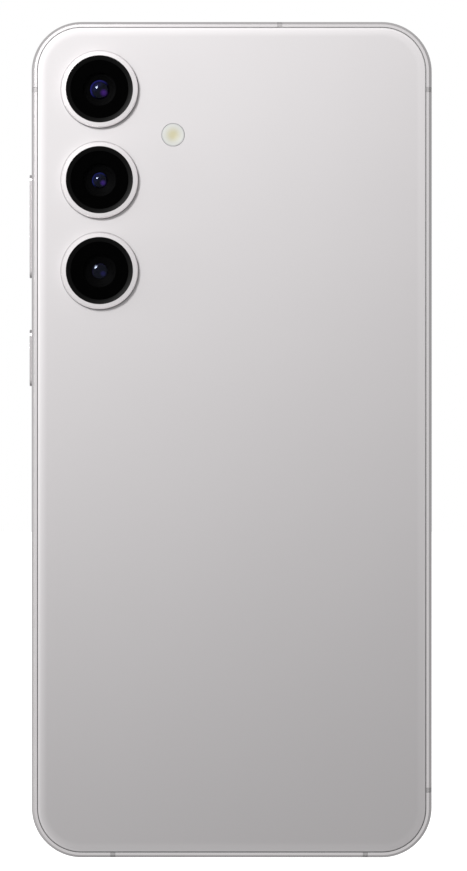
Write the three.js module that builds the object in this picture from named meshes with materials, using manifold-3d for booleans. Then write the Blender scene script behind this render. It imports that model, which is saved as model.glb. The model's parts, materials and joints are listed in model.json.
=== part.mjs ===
// A smartphone standing upright on its bottom edge, in millimetres.
// X runs across the phone, Y through its thickness and Z up its length.
// The rear cover faces -Y and the display faces +Y. The origin is the middle of the bottom edge.
import * as THREE from 'three';
import { mergeVertices } from 'three/addons/utils/BufferGeometryUtils.js';
import Module from 'manifold-3d';

const wasm = await Module();
wasm.setup();

// ---------------------------------------------------------------- overall
const WIDTH = 75.9;
const HEIGHT = 158.5;
const THICKNESS = 7.7;
const CORNER_RADIUS = 9.5;
const EDGE_ROUND = 0.5;           // rounding along the outer edges of the frame

// ---------------------------------------------------------------- clearances
const FIT = 0.05;                 // between layers and pieces that seat on each other
const SLIDE_FIT = 0.1;            // round a piece that moves in a slot
const LOOSE = 0.3;                // round boards and modules that only have to drop in
const THROUGH = 1;                // how far a cutting tool runs past the face that it opens

// ---------------------------------------------------------------- frame
const RIM = 1.1;                  // lip of the frame round either glass
const WALL = 2.6;                 // side wall
const PANEL_WALL = 2.2;           // wall round the display panel
const PLATE = 0.55;               // middle plate that carries everything
const GLASS_GAP = 0.07;           // open line between the lip and the glass

// ---------------------------------------------------------------- glass and display
const REAR_GLASS = 0.6;
const REAR_BOND = 0.15;           // space for the adhesive under the rear glass
const REAR_GLASS_ROUND = 0.2;
const DISPLAY_GLASS = 0.64;
const DISPLAY_BOND = 0.11;
const DISPLAY_GLASS_ROUND = 0.12;
const BOND_WIDTH = 0.9;
const BOND_CLEARANCE = 0.02;
const PANEL = 0.75;
const PANEL_ROOM = 0.1;           // air behind the panel

// ---------------------------------------------------------------- rear cameras and flash
const CAMERA_INSET = 12.95;       // from the left and the top edge to the first lens
const CAMERA_PITCH = 17.17;
const RING_RADIUS = 7.4;
const RING_RISE = 1.2;            // how far a ring stands proud of the glass
const RING_EDGE = 0.3;
const RING_FACE = 0.8;            // width of the flat face before the inner bevel
const WINDOW_RADIUS = 6.33;
const WINDOW_THICKNESS = 0.45;
const WINDOW_DEPTH = 0.25;        // of the window below the ring's face
const NECK_RADIUS = 6.0;
const BORE_RADIUS = 5.2;
const CAMERA_BODY = 11.8;
const BARREL_RADIUS = 4.0;
const BARREL_TRAVEL = 0.35;       // focus travel
const BARREL_LIP_RADIUS = 3.2;
const BARREL_BACK = 2.2;          // from the barrel's back to the middle plate
const BORE_BACK = 1.75;           // floor of the camera body behind the barrel
const LENS_FACE_RADIUS = 1.8;
const LENS_FACE_DEPTH = 0.3;
const LENS_DEPTH = 0.5;
const FLASH_X = 26.85;            // from the left edge
const FLASH_Z = 21.53;            // from the top edge
const FLASH_RADIUS = 2.18;
const FLASH_EDGE = 0.1;
const FLASH_BOARD = 5.0;
const LAMP_HALF = 1.2;
const LAMP_HEIGHT = 0.4;

// ---------------------------------------------------------------- side keys
const KEY_RISE = 0.46;
const KEY_WIDTH = 2.3;
const KEY_EDGE = 0.18;
const KEY_SKIN = 1.0;             // wall left outside the key bay
const KEY_FLANGE = 0.4;
const KEY_FLANGE_LIP = 0.35;
const KEY_TRAVEL = 0.25;
const KEY_SEAL = 0.18;
const KEY_SEAL_WIDTH = 0.3;
const VOLUME_LENGTH = 19.6;
const VOLUME_FROM_TOP = 38.7;
const POWER_LENGTH = 10.7;
const POWER_FROM_TOP = 63.7;
const DOME_SPREAD = 7.5;          // from the middle of the volume key to each of its two domes
const DOME_RADIUS = 1.1;
const DOME_TIP_RADIUS = 0.66;
const DOME_HEIGHT = 0.2;
const KEY_FLEX = 0.25;

// ---------------------------------------------------------------- antenna bands
const BAND_WIDTH = 0.95;
const BAND_DEPTH = 1.8;
const BAND_GAP = 0.03;
const BAND_FROM_TOP = 12.95;      // on both long sides
const BAND_FROM_BOTTOM = 12.9;    // on the right long side
const BAND_TOP_X = 9.1;
const BAND_BOTTOM_LEFT_X = -22.5;
const BAND_BOTTOM_RIGHT_X = 25.3;

// ---------------------------------------------------------------- bottom edge
const USB_WIDTH = 9.0;
const USB_THICKNESS = 3.2;
const USB_METAL = 0.32;
const USB_DEPTH = 7.6;
const USB_SET_BACK = 0.3;
const TONGUE_WIDTH = 6.6;
const TONGUE_THICKNESS = 0.7;
const TONGUE_BASE = 1.2;
const TONGUE_SET_BACK = 0.9;
const SIM_X = 16.0;
const SIM_FACE_LENGTH = 14.0;
const SIM_FACE_WIDTH = 2.2;
const SIM_FACE = 0.95;
const SIM_TRAY_WIDTH = 10.6;
const SIM_TRAY_THICKNESS = 0.9;
const SIM_TRAY_LENGTH = 16.0;
const SIM_CARD_WIDTH = 8.9;
const SIM_CARD_LENGTH = 12.4;
const SIM_SEAL_LENGTH = 11.5;
const SIM_SEAL_WIDTH = 1.9;
const SIM_SEAL = 0.6;
const SIM_READER_WALL = 0.5;
const EJECT_RADIUS = 0.45;
const EJECT_FROM_END = 1.0;
const SPEAKER_SLOTS = 6;
const SPEAKER_SLOT_LENGTH = 1.4;
const SPEAKER_SLOT_WIDTH = 0.9;
const SPEAKER_SLOT_PITCH = 1.95;
const SPEAKER_SLOT_X = -14.6;     // middle of the row
const MICROPHONE_RADIUS = 0.45;
const MICROPHONE_BOTTOM_X = -7.0;
const MICROPHONE_TOP_X = -9.0;

// ---------------------------------------------------------------- inside
const BOARD = 0.7;
const BOARD_STANDOFF = 0.7;       // between a board and the middle plate
const COVER = 0.9;                // plastic cover over the main board
const COVER_DROP = 0.15;          // from the rear ledge to that cover
const BOSS_RADIUS = 1.8;
const SCREW_RADIUS = 0.7;
const SCREW_HOLE = 0.8;
const SCREW_HEAD_RADIUS = 1.25;
const SCREW_HEAD = 0.43;
const SCREW_END_ROOM = 0.795;     // from a screw's tip to the middle plate
const SCREW_HOLE_ROOM = 0.5;      // from a boss hole's floor to the middle plate
const COUNTERBORE = 0.5;
const SCREW_POINT = 0.2;
const SOCKET_RADIUS = 0.5;
const SOCKET_DEPTH = 0.25;
const UPPER_SCREW_FROM_TOP = 10.0;
const UPPER_SCREW_FROM_BAY = 2.2;
const UPPER_BAY_GAP = 1.0;        // from the lowest camera to the battery bay
const BOARD_FROM_TOP = 11.0;
const LOWER_BAY = 26.5;           // height of the top of the lower bay
const BATTERY_SIDE = 2.0;
const BATTERY_GAP = 1.0;          // from the lower bay to the battery
const BATTERY_CORNER = 2.0;
const BATTERY_ROUND = 0.3;
const COIL_OUTER = 22.0;
const COIL_INNER = 11.5;
const COIL_HEIGHT = 66.0;
const COIL = 0.24;
const FERRITE_HALF = 23.5;
const FLEX = 0.12;
const FLEX_X0 = 2.5;
const FLEX_X1 = 8.5;
const FLEX_TAIL = 7.0;            // length of the lower tail on the sub board
const FLEX_HEAD = 3.0;            // length of the upper tail on the main board
const CHAMBER = 0.26;
const CHAMBER_X0 = -16.0;
const CHAMBER_X1 = 28.0;
const CHAMBER_Z0 = 66.0;
const CHAMBER_FROM_TOP = 14.0;
const SENSOR_HALF = 4.2;
const SENSOR_HEIGHT = 33.0;
const SENSOR = 0.26;
const FRONT_CAMERA_ROOM = 0.5;    // between the camera and the top wall
const MODULE_ROOM = 0.9;          // between the upper cover and the modules under it
const FRONT_CAMERA_HALF = 3.1;
const SNOUT_RADIUS = 1.75;
const EARPIECE_X0 = 4.2;
const EARPIECE_LENGTH = 12.0;
const EARPIECE_HEIGHT = 5.0;
const SLIT_LENGTH = 11.0;
const SLIT_WIDTH = 0.42;
const SLIT_CORNER = 0.1;
const SLIT_DEPTH = 0.2;           // of the mesh below the glass
const SUB_BOARD_HALF = 9.0;
const MODULE_CORNER = 0.8;        // corner radius of boards, shields and small modules
const SHIELD_INSET = 1.0;         // from a board's edge to a shield
const SHIELD_OFFSET = 2.2;        // of the line between both shields, from the board's middle
const SPEAKER_BOX_SIDE = 5.0;     // from the side wall to the loudspeaker box
const SPEAKER_BOX_TOP = 22.0;
const SPEAKER_BOX_FOOT = 1.0;     // from the bottom wall to the box
const DISH_RIM = 3.0;             // of the box round the diaphragm's dish
const DISH_ROOM = 0.95;           // depth of that dish beyond the diaphragm and its stroke
const DISH_CORNER = 2.0;
const SPEAKER_EAR_HEIGHT = 11.0;
const SPEAKER_EAR_X = -17.5;
const DIAPHRAGM = 0.2;
const DIAPHRAGM_TRAVEL = 0.3;
const MOTOR_WIDTH = 8.4;
const MOTOR_LENGTH = 16.0;
const MOTOR_DEPTH = 3.4;
const MOTOR_WALL = 0.4;
const MOTOR_TRAVEL = 0.5;

// ---------------------------------------------------------------- facets
const CORNER_CURVE = 4;           // half the facets in each rounded corner
const SLOT_CURVE = 3;
const EDGE_FACETS = 2;
const MODULE_CURVE = 1;
const RING_FACETS = 36;
const LENS_FACETS = 24;
const SCREW_FACETS = 12;
const HOLE_FACETS = 10;

// ---------------------------------------------------------------- places worked out from the sizes
const HALF_WIDTH = WIDTH / 2;
const REAR = -THICKNESS / 2;
const FRONT = THICKNESS / 2;
const REAR_LEDGE = REAR + REAR_GLASS + REAR_BOND;
const FRONT_LEDGE = FRONT - DISPLAY_GLASS - DISPLAY_BOND;
const PLATE_FRONT = FRONT_LEDGE - PANEL - PANEL_ROOM;
const PLATE_REAR = PLATE_FRONT - PLATE;
const INNER_X = HALF_WIDTH - WALL;
const CAMERA_X = CAMERA_INSET - HALF_WIDTH;
const CAMERAS = ['top', 'middle', 'bottom'].map((place, i) => ({
	place,
	z: HEIGHT - CAMERA_INSET - i * CAMERA_PITCH,
}));
const RING_TOP = REAR - RING_RISE;
const WINDOW_REAR = RING_TOP + WINDOW_DEPTH;
const WINDOW_FRONT = WINDOW_REAR + WINDOW_THICKNESS;
const UPPER_BAY = CAMERAS[2].z - CAMERA_BODY / 2 - UPPER_BAY_GAP;
const BOARD_FRONT = PLATE_REAR - BOARD_STANDOFF;
const BOARD_REAR = BOARD_FRONT - BOARD;
const COVER_REAR = REAR_LEDGE + COVER_DROP;
const COVER_FRONT = COVER_REAR + COVER;
const COIL_REAR = REAR + REAR_GLASS + FIT;
const FERRITE_REAR = COIL_REAR + COIL + FIT;
const FLEX_REAR = FERRITE_REAR + COIL + FIT;
const BATTERY_REAR = FLEX_REAR + FLEX + FIT;
const LEFT_BOSS_X = CAMERA_X + CAMERA_BODY / 2 + LOOSE + BOSS_RADIUS;
const RIGHT_BOSS_X = INNER_X - LOOSE - BOSS_RADIUS;
const BOARD_X0 = LEFT_BOSS_X + BOSS_RADIUS + LOOSE;
const BOARD_X1 = RIGHT_BOSS_X - BOSS_RADIUS - LOOSE;
const SPEAKER_X0 = SPEAKER_BOX_SIDE - INNER_X;
const SPEAKER_X1 = -SUB_BOARD_HALF - LOOSE;
const SPEAKER_EAR_SIDE_X = SPEAKER_X0 - LOOSE - BOSS_RADIUS;
const SPEAKER_EAR_TOP_Z = SPEAKER_BOX_TOP + LOOSE + BOSS_RADIUS;
const MOTOR_X = INNER_X - LOOSE - MOTOR_WIDTH / 2;
const MOTOR_Z = CORNER_RADIUS + MOTOR_LENGTH / 2;
const PORT_Y = PLATE_REAR - FIT - USB_THICKNESS / 2;
const FRONT_CAMERA_Z = HEIGHT - WALL - FRONT_CAMERA_ROOM - FRONT_CAMERA_HALF;
const MODULE_REAR = COVER_FRONT + MODULE_ROOM;
const SCREW_SEAT = COVER_REAR + FIT / 2 + SCREW_HEAD;
const SCREW_LENGTH = PLATE_REAR - SCREW_END_ROOM - SCREW_SEAT;
const FLANGE_OUTER = KEY_SKIN + KEY_TRAVEL + KEY_SEAL + FIT;    // from the side face inwards
const FLANGE_INNER = FLANGE_OUTER + KEY_FLANGE;
const DOME_TIP = FLANGE_INNER + KEY_TRAVEL + FIT;
const KEYS = {
	volume: { length: VOLUME_LENGTH, z: HEIGHT - VOLUME_FROM_TOP },
	power: { length: POWER_LENGTH, z: HEIGHT - POWER_FROM_TOP },
};
const SCREWS = [
	{ name: 'screw_upper_left', x: LEFT_BOSS_X, z: HEIGHT - UPPER_SCREW_FROM_TOP },
	{ name: 'screw_upper_right', x: RIGHT_BOSS_X, z: HEIGHT - UPPER_SCREW_FROM_TOP },
	{ name: 'screw_middle_left', x: LEFT_BOSS_X, z: UPPER_BAY + UPPER_SCREW_FROM_BAY },
	{ name: 'screw_middle_right', x: RIGHT_BOSS_X, z: UPPER_BAY + UPPER_SCREW_FROM_BAY },
	{ name: 'screw_lower_side', x: SPEAKER_EAR_SIDE_X, z: SPEAKER_EAR_HEIGHT },
	{ name: 'screw_lower_inner', x: SPEAKER_EAR_X, z: SPEAKER_EAR_TOP_Z },
];
const BANDS = [
	{ name: 'antenna_band_left', side: 'left', at: HEIGHT - BAND_FROM_TOP },
	{ name: 'antenna_band_right_upper', side: 'right', at: HEIGHT - BAND_FROM_TOP },
	{ name: 'antenna_band_right_lower', side: 'right', at: BAND_FROM_BOTTOM },
	{ name: 'antenna_band_top', side: 'top', at: BAND_TOP_X },
	{ name: 'antenna_band_bottom_left', side: 'bottom', at: BAND_BOTTOM_LEFT_X },
	{ name: 'antenna_band_bottom_right', side: 'bottom', at: BAND_BOTTOM_RIGHT_X },
];

// ---------------------------------------------------------------- finishes
const FINISHES = {
	frame: [0xb9b9b7, 0.32, 0.9],
	band: [0xa3a3a1, 0.55, 0.0],
	rear_glass: [0xcfcecb, 0.45, 0.1],
	black_glass: [0x060608, 0.06, 0.0],
	ring: [0xe4e4e2, 0.25, 1.0],
	flash: [0xe9e4d2, 0.35, 0.0],
	lens: [0x14161d, 0.12, 0.2],
	rubber: [0x191919, 0.8, 0.0],
	flex: [0x8a4b1f, 0.5, 0.1],
	adhesive: [0x1b1b1d, 0.7, 0.0],
	panel: [0x101014, 0.4, 0.1],
	steel: [0xa8abb0, 0.35, 0.95],
	black_plastic: [0x1c1d1f, 0.6, 0.0],
	board: [0x12402c, 0.55, 0.1],
	battery: [0x2b2c2f, 0.5, 0.2],
	copper: [0xb4693a, 0.35, 0.95],
	ferrite: [0x2a2a2c, 0.75, 0.1],
	tungsten: [0x6d6e72, 0.4, 0.9],
};

const phone = new THREE.Group();

// ---------------------------------------------------------------- shapes and solids

// A rectangle with round corners, given by its edges.
function roundedRect(left, bottom, right, top, radius) {
	const shape = new THREE.Shape();
	shape.moveTo(left + radius, bottom);
	shape.lineTo(right - radius, bottom);
	shape.absarc(right - radius, bottom + radius, radius, -Math.PI / 2, 0, false);
	shape.lineTo(right, top - radius);
	shape.absarc(right - radius, top - radius, radius, 0, Math.PI / 2, false);
	shape.lineTo(left + radius, top);
	shape.absarc(left + radius, top - radius, radius, Math.PI / 2, Math.PI, false);
	shape.lineTo(left, bottom + radius);
	shape.absarc(left + radius, bottom + radius, radius, Math.PI, Math.PI * 1.5, false);
	return shape;
}

// A slot with half-round ends, centred on a point.
function stadium(length, width, x = 0, y = 0) {
	const reach = (length - width) / 2;
	const radius = width / 2;
	const shape = new THREE.Shape();
	shape.moveTo(x - reach, y - radius);
	shape.lineTo(x + reach, y - radius);
	shape.absarc(x + reach, y, radius, -Math.PI / 2, Math.PI / 2, false);
	shape.lineTo(x - reach, y + radius);
	shape.absarc(x - reach, y, radius, Math.PI / 2, Math.PI * 1.5, false);
	return shape;
}

// The phone's outline seen from behind, drawn in by an inset all round.
function outline(inset) {
	const radius = CORNER_RADIUS - inset;
	return roundedRect(inset - HALF_WIDTH, inset, HALF_WIDTH - inset, HEIGHT - inset, radius);
}

// Extrudes a shape over a depth, with its two end edges rounded if asked.
function extrude(shape, depth, round, curveSegments) {
	const rounded = round > 0;
	const geometry = new THREE.ExtrudeGeometry(shape, {
		depth: depth - 2 * round,
		curveSegments,
		bevelEnabled: rounded,
		bevelThickness: round,
		bevelSize: round,
		bevelOffset: -round,
		bevelSegments: EDGE_FACETS,
	});
	return geometry.translate(0, 0, round);
}

// A plate lying across the thickness: the shape is drawn in X and Z.
function slab(shape, yRear, yFront, round = 0, curveSegments = CORNER_CURVE) {
	const turn = new THREE.Matrix4().makeBasis(
		new THREE.Vector3(1, 0, 0),
		new THREE.Vector3(0, 0, 1),
		new THREE.Vector3(0, -1, 0),
	);
	return extrude(shape, yFront - yRear, round, curveSegments).applyMatrix4(turn).translate(0, yFront, 0);
}

// A piece standing along Z: the shape is drawn in X and Y.
function column(shape, zBottom, zTop, round = 0, curveSegments = SLOT_CURVE) {
	return extrude(shape, zTop - zBottom, round, curveSegments).translate(0, 0, zBottom);
}

// A piece lying along X: the shape is drawn in Z and Y, with Z first.
function bar(shape, xLeft, xRight, round = 0, curveSegments = SLOT_CURVE) {
	const turn = new THREE.Matrix4().makeBasis(
		new THREE.Vector3(0, 0, 1),
		new THREE.Vector3(0, 1, 0),
		new THREE.Vector3(-1, 0, 0),
	);
	return extrude(shape, xRight - xLeft, round, curveSegments).applyMatrix4(turn).translate(xRight, 0, 0);
}

// A rectangular block given by its lowest and highest corners.
function block(x0, x1, y0, y1, z0, z1) {
	const geometry = new THREE.BoxGeometry(x1 - x0, y1 - y0, z1 - z0);
	return geometry.translate((x0 + x1) / 2, (y0 + y1) / 2, (z0 + z1) / 2);
}

// A round pin through the thickness.
function pin(radius, yRear, yFront, x, z, facets) {
	const geometry = new THREE.CylinderGeometry(radius, radius, yFront - yRear, facets);
	return geometry.translate(x, (yRear + yFront) / 2, z);
}

// A body of revolution about the thickness axis, from [radius, y] pairs.
function turned(profile, facets) {
	return new THREE.LatheGeometry(profile.map(([radius, y]) => new THREE.Vector2(radius, y)), facets);
}

// Welds a geometry's shared points, drops empty triangles and turns its faces outwards.
function welded(geometry) {
	const bare = geometry.clone();
	bare.deleteAttribute('normal');
	bare.deleteAttribute('uv');
	const merged = mergeVertices(bare);
	const corners = merged.index.array;
	const position = merged.attributes.position;
	const a = new THREE.Vector3();
	const b = new THREE.Vector3();
	const c = new THREE.Vector3();
	const kept = [];
	let volume = 0;
	for (let i = 0; i < corners.length; i += 3) {
		const [p, q, r] = corners.slice(i, i + 3);
		if (p === q || q === r || r === p) {
			continue;
		}
		kept.push(p, q, r);
		a.fromBufferAttribute(position, p);
		b.fromBufferAttribute(position, q);
		c.fromBufferAttribute(position, r);
		volume += a.dot(b.cross(c));
	}
	if (volume < 0) {
		kept.reverse();
	}
	merged.setIndex(kept);
	return merged;
}

function toManifold(geometry) {
	const merged = welded(geometry);
	return new wasm.Manifold(new wasm.Mesh({
		numProp: 3,
		vertProperties: new Float32Array(merged.attributes.position.array),
		triVerts: new Uint32Array(merged.index.array),
	}));
}

function toGeometry(solid) {
	const mesh = solid.getMesh();
	const geometry = new THREE.BufferGeometry();
	geometry.setAttribute('position', new THREE.BufferAttribute(mesh.vertProperties, 3));
	geometry.setIndex(new THREE.BufferAttribute(mesh.triVerts, 1));
	return geometry;
}

// Cuts every tool out of a body.
function cut(body, ...tools) {
	const result = tools.reduce((solid, tool) => solid.subtract(toManifold(tool)), toManifold(body));
	return toGeometry(result);
}

// Joins pieces that run into each other.
function join(body, ...others) {
	const result = others.reduce((solid, other) => solid.add(toManifold(other)), toManifold(body));
	return toGeometry(result);
}

// Keeps what two bodies share.
function common(body, other) {
	return toGeometry(toManifold(body).intersect(toManifold(other)));
}

// Adds a named piece to the phone.
function add(name, geometry, finish, x = 0, y = 0, z = 0) {
	const [color, roughness, metalness] = FINISHES[finish];
	const shape = welded(geometry);
	shape.computeVertexNormals();
	const mesh = new THREE.Mesh(shape, new THREE.MeshStandardMaterial({ color, roughness, metalness }));
	mesh.name = name;
	mesh.position.set(x, y, z);
	phone.add(mesh);
}

// ---------------------------------------------------------------- frame and antenna bands

// The block across the side wall that an antenna band fills, drawn in by a gap.
function bandBlock({ side, at }, gap) {
	const half = BAND_WIDTH / 2 - gap;
	const depth = BAND_DEPTH - gap;
	const [y0, y1] = [REAR - THROUGH, FRONT + THROUGH];
	switch (side) {
		case 'left': return block(-HALF_WIDTH - THROUGH, depth - HALF_WIDTH, y0, y1, at - half, at + half);
		case 'right': return block(HALF_WIDTH - depth, HALF_WIDTH + THROUGH, y0, y1, at - half, at + half);
		case 'top': return block(at - half, at + half, y0, y1, HEIGHT - depth, HEIGHT + THROUGH);
		default: return block(at - half, at + half, y0, y1, -THROUGH, depth);
	}
}

// The rounded outer body with both glass recesses and both inner bays cut out.
function wallAndPlate() {
	return cut(
		slab(outline(0), REAR, FRONT, EDGE_ROUND),
		slab(outline(RIM), REAR - THROUGH, REAR_LEDGE),
		slab(outline(WALL), REAR - THROUGH, PLATE_REAR),
		slab(outline(RIM), FRONT_LEDGE, FRONT + THROUGH),
		slab(outline(PANEL_WALL), PLATE_FRONT, FRONT + THROUGH),
	);
}

// A boss with a blind hole for one screw.
function boss({ x, z }) {
	return pin(BOSS_RADIUS, COVER_FRONT + FIT, PLATE_REAR + FIT, x, z, SCREW_FACETS);
}

function bossHole({ x, z }) {
	return pin(SCREW_HOLE, REAR, PLATE_REAR - SCREW_HOLE_ROOM, x, z, SCREW_FACETS);
}

// Key slots through the thin skin, and the bay behind them that holds both flanges and the flex.
function keyCuts() {
	const skin = KEY_SKIN - HALF_WIDTH;
	const end = KEY_FLANGE_LIP * 2 + LOOSE * 2;
	const top = KEYS.volume.z + KEYS.volume.length / 2 + end;
	const bottom = KEYS.power.z - KEYS.power.length / 2 - end;
	const half = KEY_WIDTH / 2 + KEY_FLANGE_LIP + LOOSE;
	const slots = Object.values(KEYS).map(({ length, z }) => bar(
		stadium(length + 2 * SLIDE_FIT, KEY_WIDTH + 2 * SLIDE_FIT, z, 0),
		-HALF_WIDTH - THROUGH,
		skin + FIT,
	));
	return [...slots, block(skin, FIT - INNER_X, -half, half, bottom, top)];
}

// Every opening in the bottom and the top edge.
function edgeCuts() {
	const inside = WALL + FIT;
	const wide = stadium(SIM_FACE_LENGTH + 2 * SLIDE_FIT, SIM_FACE_WIDTH + 2 * SLIDE_FIT, SIM_X, PORT_Y);
	const narrow = stadium(SIM_SEAL_LENGTH + 4 * LOOSE, SIM_SEAL_WIDTH + 2 * SLIDE_FIT, SIM_X, PORT_Y);
	const usb = stadium(USB_WIDTH + 2 * FIT, USB_THICKNESS + 2 * FIT, 0, PORT_Y);
	const first = SPEAKER_SLOT_X - (SPEAKER_SLOTS - 1) * SPEAKER_SLOT_PITCH / 2;
	const slots = Array.from({ length: SPEAKER_SLOTS }, (_, i) => column(
		stadium(SPEAKER_SLOT_LENGTH, SPEAKER_SLOT_WIDTH, first + i * SPEAKER_SLOT_PITCH, PORT_Y),
		-THROUGH,
		inside,
	));
	return [
		column(wide, -THROUGH, SIM_FACE + FIT + SLIDE_FIT),
		column(narrow, SIM_FACE, inside),
		column(usb, -THROUGH, inside),
		...slots,
		microphoneHole(MICROPHONE_BOTTOM_X, -THROUGH, inside),
		microphoneHole(MICROPHONE_TOP_X, HEIGHT - inside, HEIGHT + THROUGH),
	];
}

function microphoneHole(x, zBottom, zTop) {
	const hole = new THREE.CylinderGeometry(MICROPHONE_RADIUS, MICROPHONE_RADIUS, zTop - zBottom, HOLE_FACETS);
	return hole.rotateX(Math.PI / 2).translate(x, PORT_Y, (zBottom + zTop) / 2);
}

// Openings and pockets in the middle plate.
function plateCuts() {
	const pocket = PLATE_FRONT - CHAMBER - FIT;
	const room = SENSOR_HALF + FIT;
	const soundway = HEIGHT - WALL - LOOSE;
	return [
		slab(chamberShape(FIT), pocket, FRONT),
		block(-room, room, PLATE_FRONT - SENSOR - FIT, FRONT, SENSOR_HEIGHT - room, SENSOR_HEIGHT + room),
		pin(SNOUT_RADIUS + SLIDE_FIT, PLATE_REAR - FIT, FRONT, 0, FRONT_CAMERA_Z, LENS_FACETS),
		block(EARPIECE_X0, EARPIECE_X0 + SLIT_LENGTH / 2, PLATE_REAR - FIT, FRONT, soundway - 1, soundway),
	];
}

function addFrame() {
	const walls = wallAndPlate();
	const bosses = SCREWS.map(boss);
	const holes = SCREWS.map(bossHole);
	const slots = BANDS.map((band) => bandBlock(band, 0));
	const body = cut(join(walls, ...bosses), ...holes, ...keyCuts(), ...edgeCuts(), ...plateCuts(), ...slots);
	add('frame', body, 'frame');
	for (const band of BANDS) {
		add(band.name, common(walls, bandBlock(band, BAND_GAP)), 'band');
	}
}

// ---------------------------------------------------------------- rear cover

function addRearGlass() {
	const glass = slab(outline(RIM + GLASS_GAP), REAR, REAR + REAR_GLASS, REAR_GLASS_ROUND);
	const ringHoles = CAMERAS.map(({ z }) => pin(
		NECK_RADIUS + SLIDE_FIT,
		REAR - THROUGH,
		REAR_LEDGE,
		CAMERA_X,
		z,
		RING_FACETS,
	));
	const flashHole = pin(
		FLASH_RADIUS + FIT,
		REAR - THROUGH,
		REAR_LEDGE,
		FLASH_X - HALF_WIDTH,
		HEIGHT - FLASH_Z,
		LENS_FACETS,
	);
	add('rear_glass', cut(glass, ...ringHoles, flashHole), 'rear_glass');
}

// A flat adhesive frame between a glass and its ledge.
function adhesiveFrame(yRear, yFront) {
	const start = RIM + GLASS_GAP + FIT;
	const shape = outline(start);
	shape.holes.push(outline(start + BOND_WIDTH));
	return slab(shape, yRear, yFront);
}

function addAdhesives() {
	const rear = adhesiveFrame(REAR + REAR_GLASS + BOND_CLEARANCE, REAR_LEDGE - BOND_CLEARANCE);
	add('rear_adhesive', rear, 'adhesive');
	const front = adhesiveFrame(FRONT_LEDGE + BOND_CLEARANCE, FRONT - DISPLAY_GLASS - BOND_CLEARANCE);
	add('display_adhesive', front, 'adhesive');
}

// A stepped ring: its flange rests on the glass and its neck passes through it.
function lensRing() {
	const face = RING_RADIUS - RING_FACE;
	const seat = WINDOW_RADIUS + FIT;
	return turned([
		[BORE_RADIUS, WINDOW_FRONT + FIT],
		[BORE_RADIUS, REAR_LEDGE - FIT],
		[NECK_RADIUS, REAR_LEDGE - FIT],
		[NECK_RADIUS, REAR - FIT],
		[RING_RADIUS, REAR - FIT],
		[RING_RADIUS, RING_TOP + RING_EDGE],
		[RING_RADIUS - RING_EDGE, RING_TOP],
		[face, RING_TOP],
		[seat, RING_TOP + WINDOW_DEPTH],
		[seat, WINDOW_FRONT + FIT],
		[BORE_RADIUS, WINDOW_FRONT + FIT],
	], RING_FACETS);
}

function lensWindow() {
	return turned([
		[0, WINDOW_REAR],
		[WINDOW_RADIUS, WINDOW_REAR],
		[WINDOW_RADIUS, WINDOW_FRONT],
		[0, WINDOW_FRONT],
	], RING_FACETS);
}

// The moving lens: a stepped barrel with a shallow front dish.
function lensBarrel() {
	const rear = WINDOW_FRONT + FIT + BARREL_TRAVEL + FIT;
	const front = PLATE_REAR - BARREL_BACK;
	return turned([
		[0, rear + LENS_DEPTH],
		[LENS_FACE_RADIUS, rear + LENS_FACE_DEPTH],
		[BARREL_LIP_RADIUS, rear],
		[BARREL_RADIUS, rear],
		[BARREL_RADIUS, front],
		[0, front],
	], LENS_FACETS);
}

function cameraBody() {
	const half = CAMERA_BODY / 2;
	const rear = REAR_LEDGE + FIT;
	const front = PLATE_REAR - FIT;
	const housing = slab(roundedRect(-half, -half, half, half, MODULE_CORNER), rear, front, 0, MODULE_CURVE);
	const bore = pin(BARREL_RADIUS + SLIDE_FIT, rear - THROUGH, PLATE_REAR - BORE_BACK, 0, 0, LENS_FACETS);
	return cut(housing, bore);
}

function addCameras() {
	for (const { place, z } of CAMERAS) {
		add(`lens_ring_${place}`, lensRing(), 'ring', CAMERA_X, 0, z);
		add(`lens_window_${place}`, lensWindow(), 'black_glass', CAMERA_X, 0, z);
		add(`lens_barrel_${place}`, lensBarrel(), 'lens', CAMERA_X, 0, z);
		add(`camera_body_${place}`, cameraBody(), 'black_plastic', CAMERA_X, 0, z);
	}
}

function addFlash() {
	const x = FLASH_X - HALF_WIDTH;
	const z = HEIGHT - FLASH_Z;
	const half = FLASH_BOARD / 2;
	const lamp = REAR + REAR_GLASS + 2 * FIT;
	const face = lamp + LAMP_HEIGHT;
	const window = turned([
		[0, REAR + FIT],
		[FLASH_RADIUS - FLASH_EDGE, REAR],
		[FLASH_RADIUS, REAR + FLASH_EDGE],
		[FLASH_RADIUS, REAR + REAR_GLASS],
		[0, REAR + REAR_GLASS],
	], LENS_FACETS);
	add('flash_window', window, 'flash', x, 0, z);
	const board = join(
		block(-half, half, face, COVER_FRONT - FIT, -half, half),
		block(-LAMP_HALF, LAMP_HALF, lamp, face + FIT, -LAMP_HALF, LAMP_HALF),
	);
	add('flash_board', board, 'flex', x, 0, z);
}

// ---------------------------------------------------------------- side keys

// A key with its flange, drawn about its own middle; x = 0 is the phone's side face.
function keyBody(length) {
	const cap = bar(stadium(length, KEY_WIDTH), -KEY_RISE, FLANGE_OUTER + FIT, KEY_EDGE);
	const lip = 2 * KEY_FLANGE_LIP;
	const flange = bar(stadium(length + lip, KEY_WIDTH + lip), FLANGE_OUTER, FLANGE_INNER);
	return join(cap, flange);
}

function keySeal(length) {
	const shape = stadium(length + 2 * (FIT + KEY_SEAL_WIDTH), KEY_WIDTH + 2 * (FIT + KEY_SEAL_WIDTH));
	shape.holes.push(stadium(length + 2 * FIT, KEY_WIDTH + 2 * FIT));
	return bar(shape, FLANGE_OUTER - FIT - KEY_SEAL, FLANGE_OUTER - FIT / 2);
}

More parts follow.
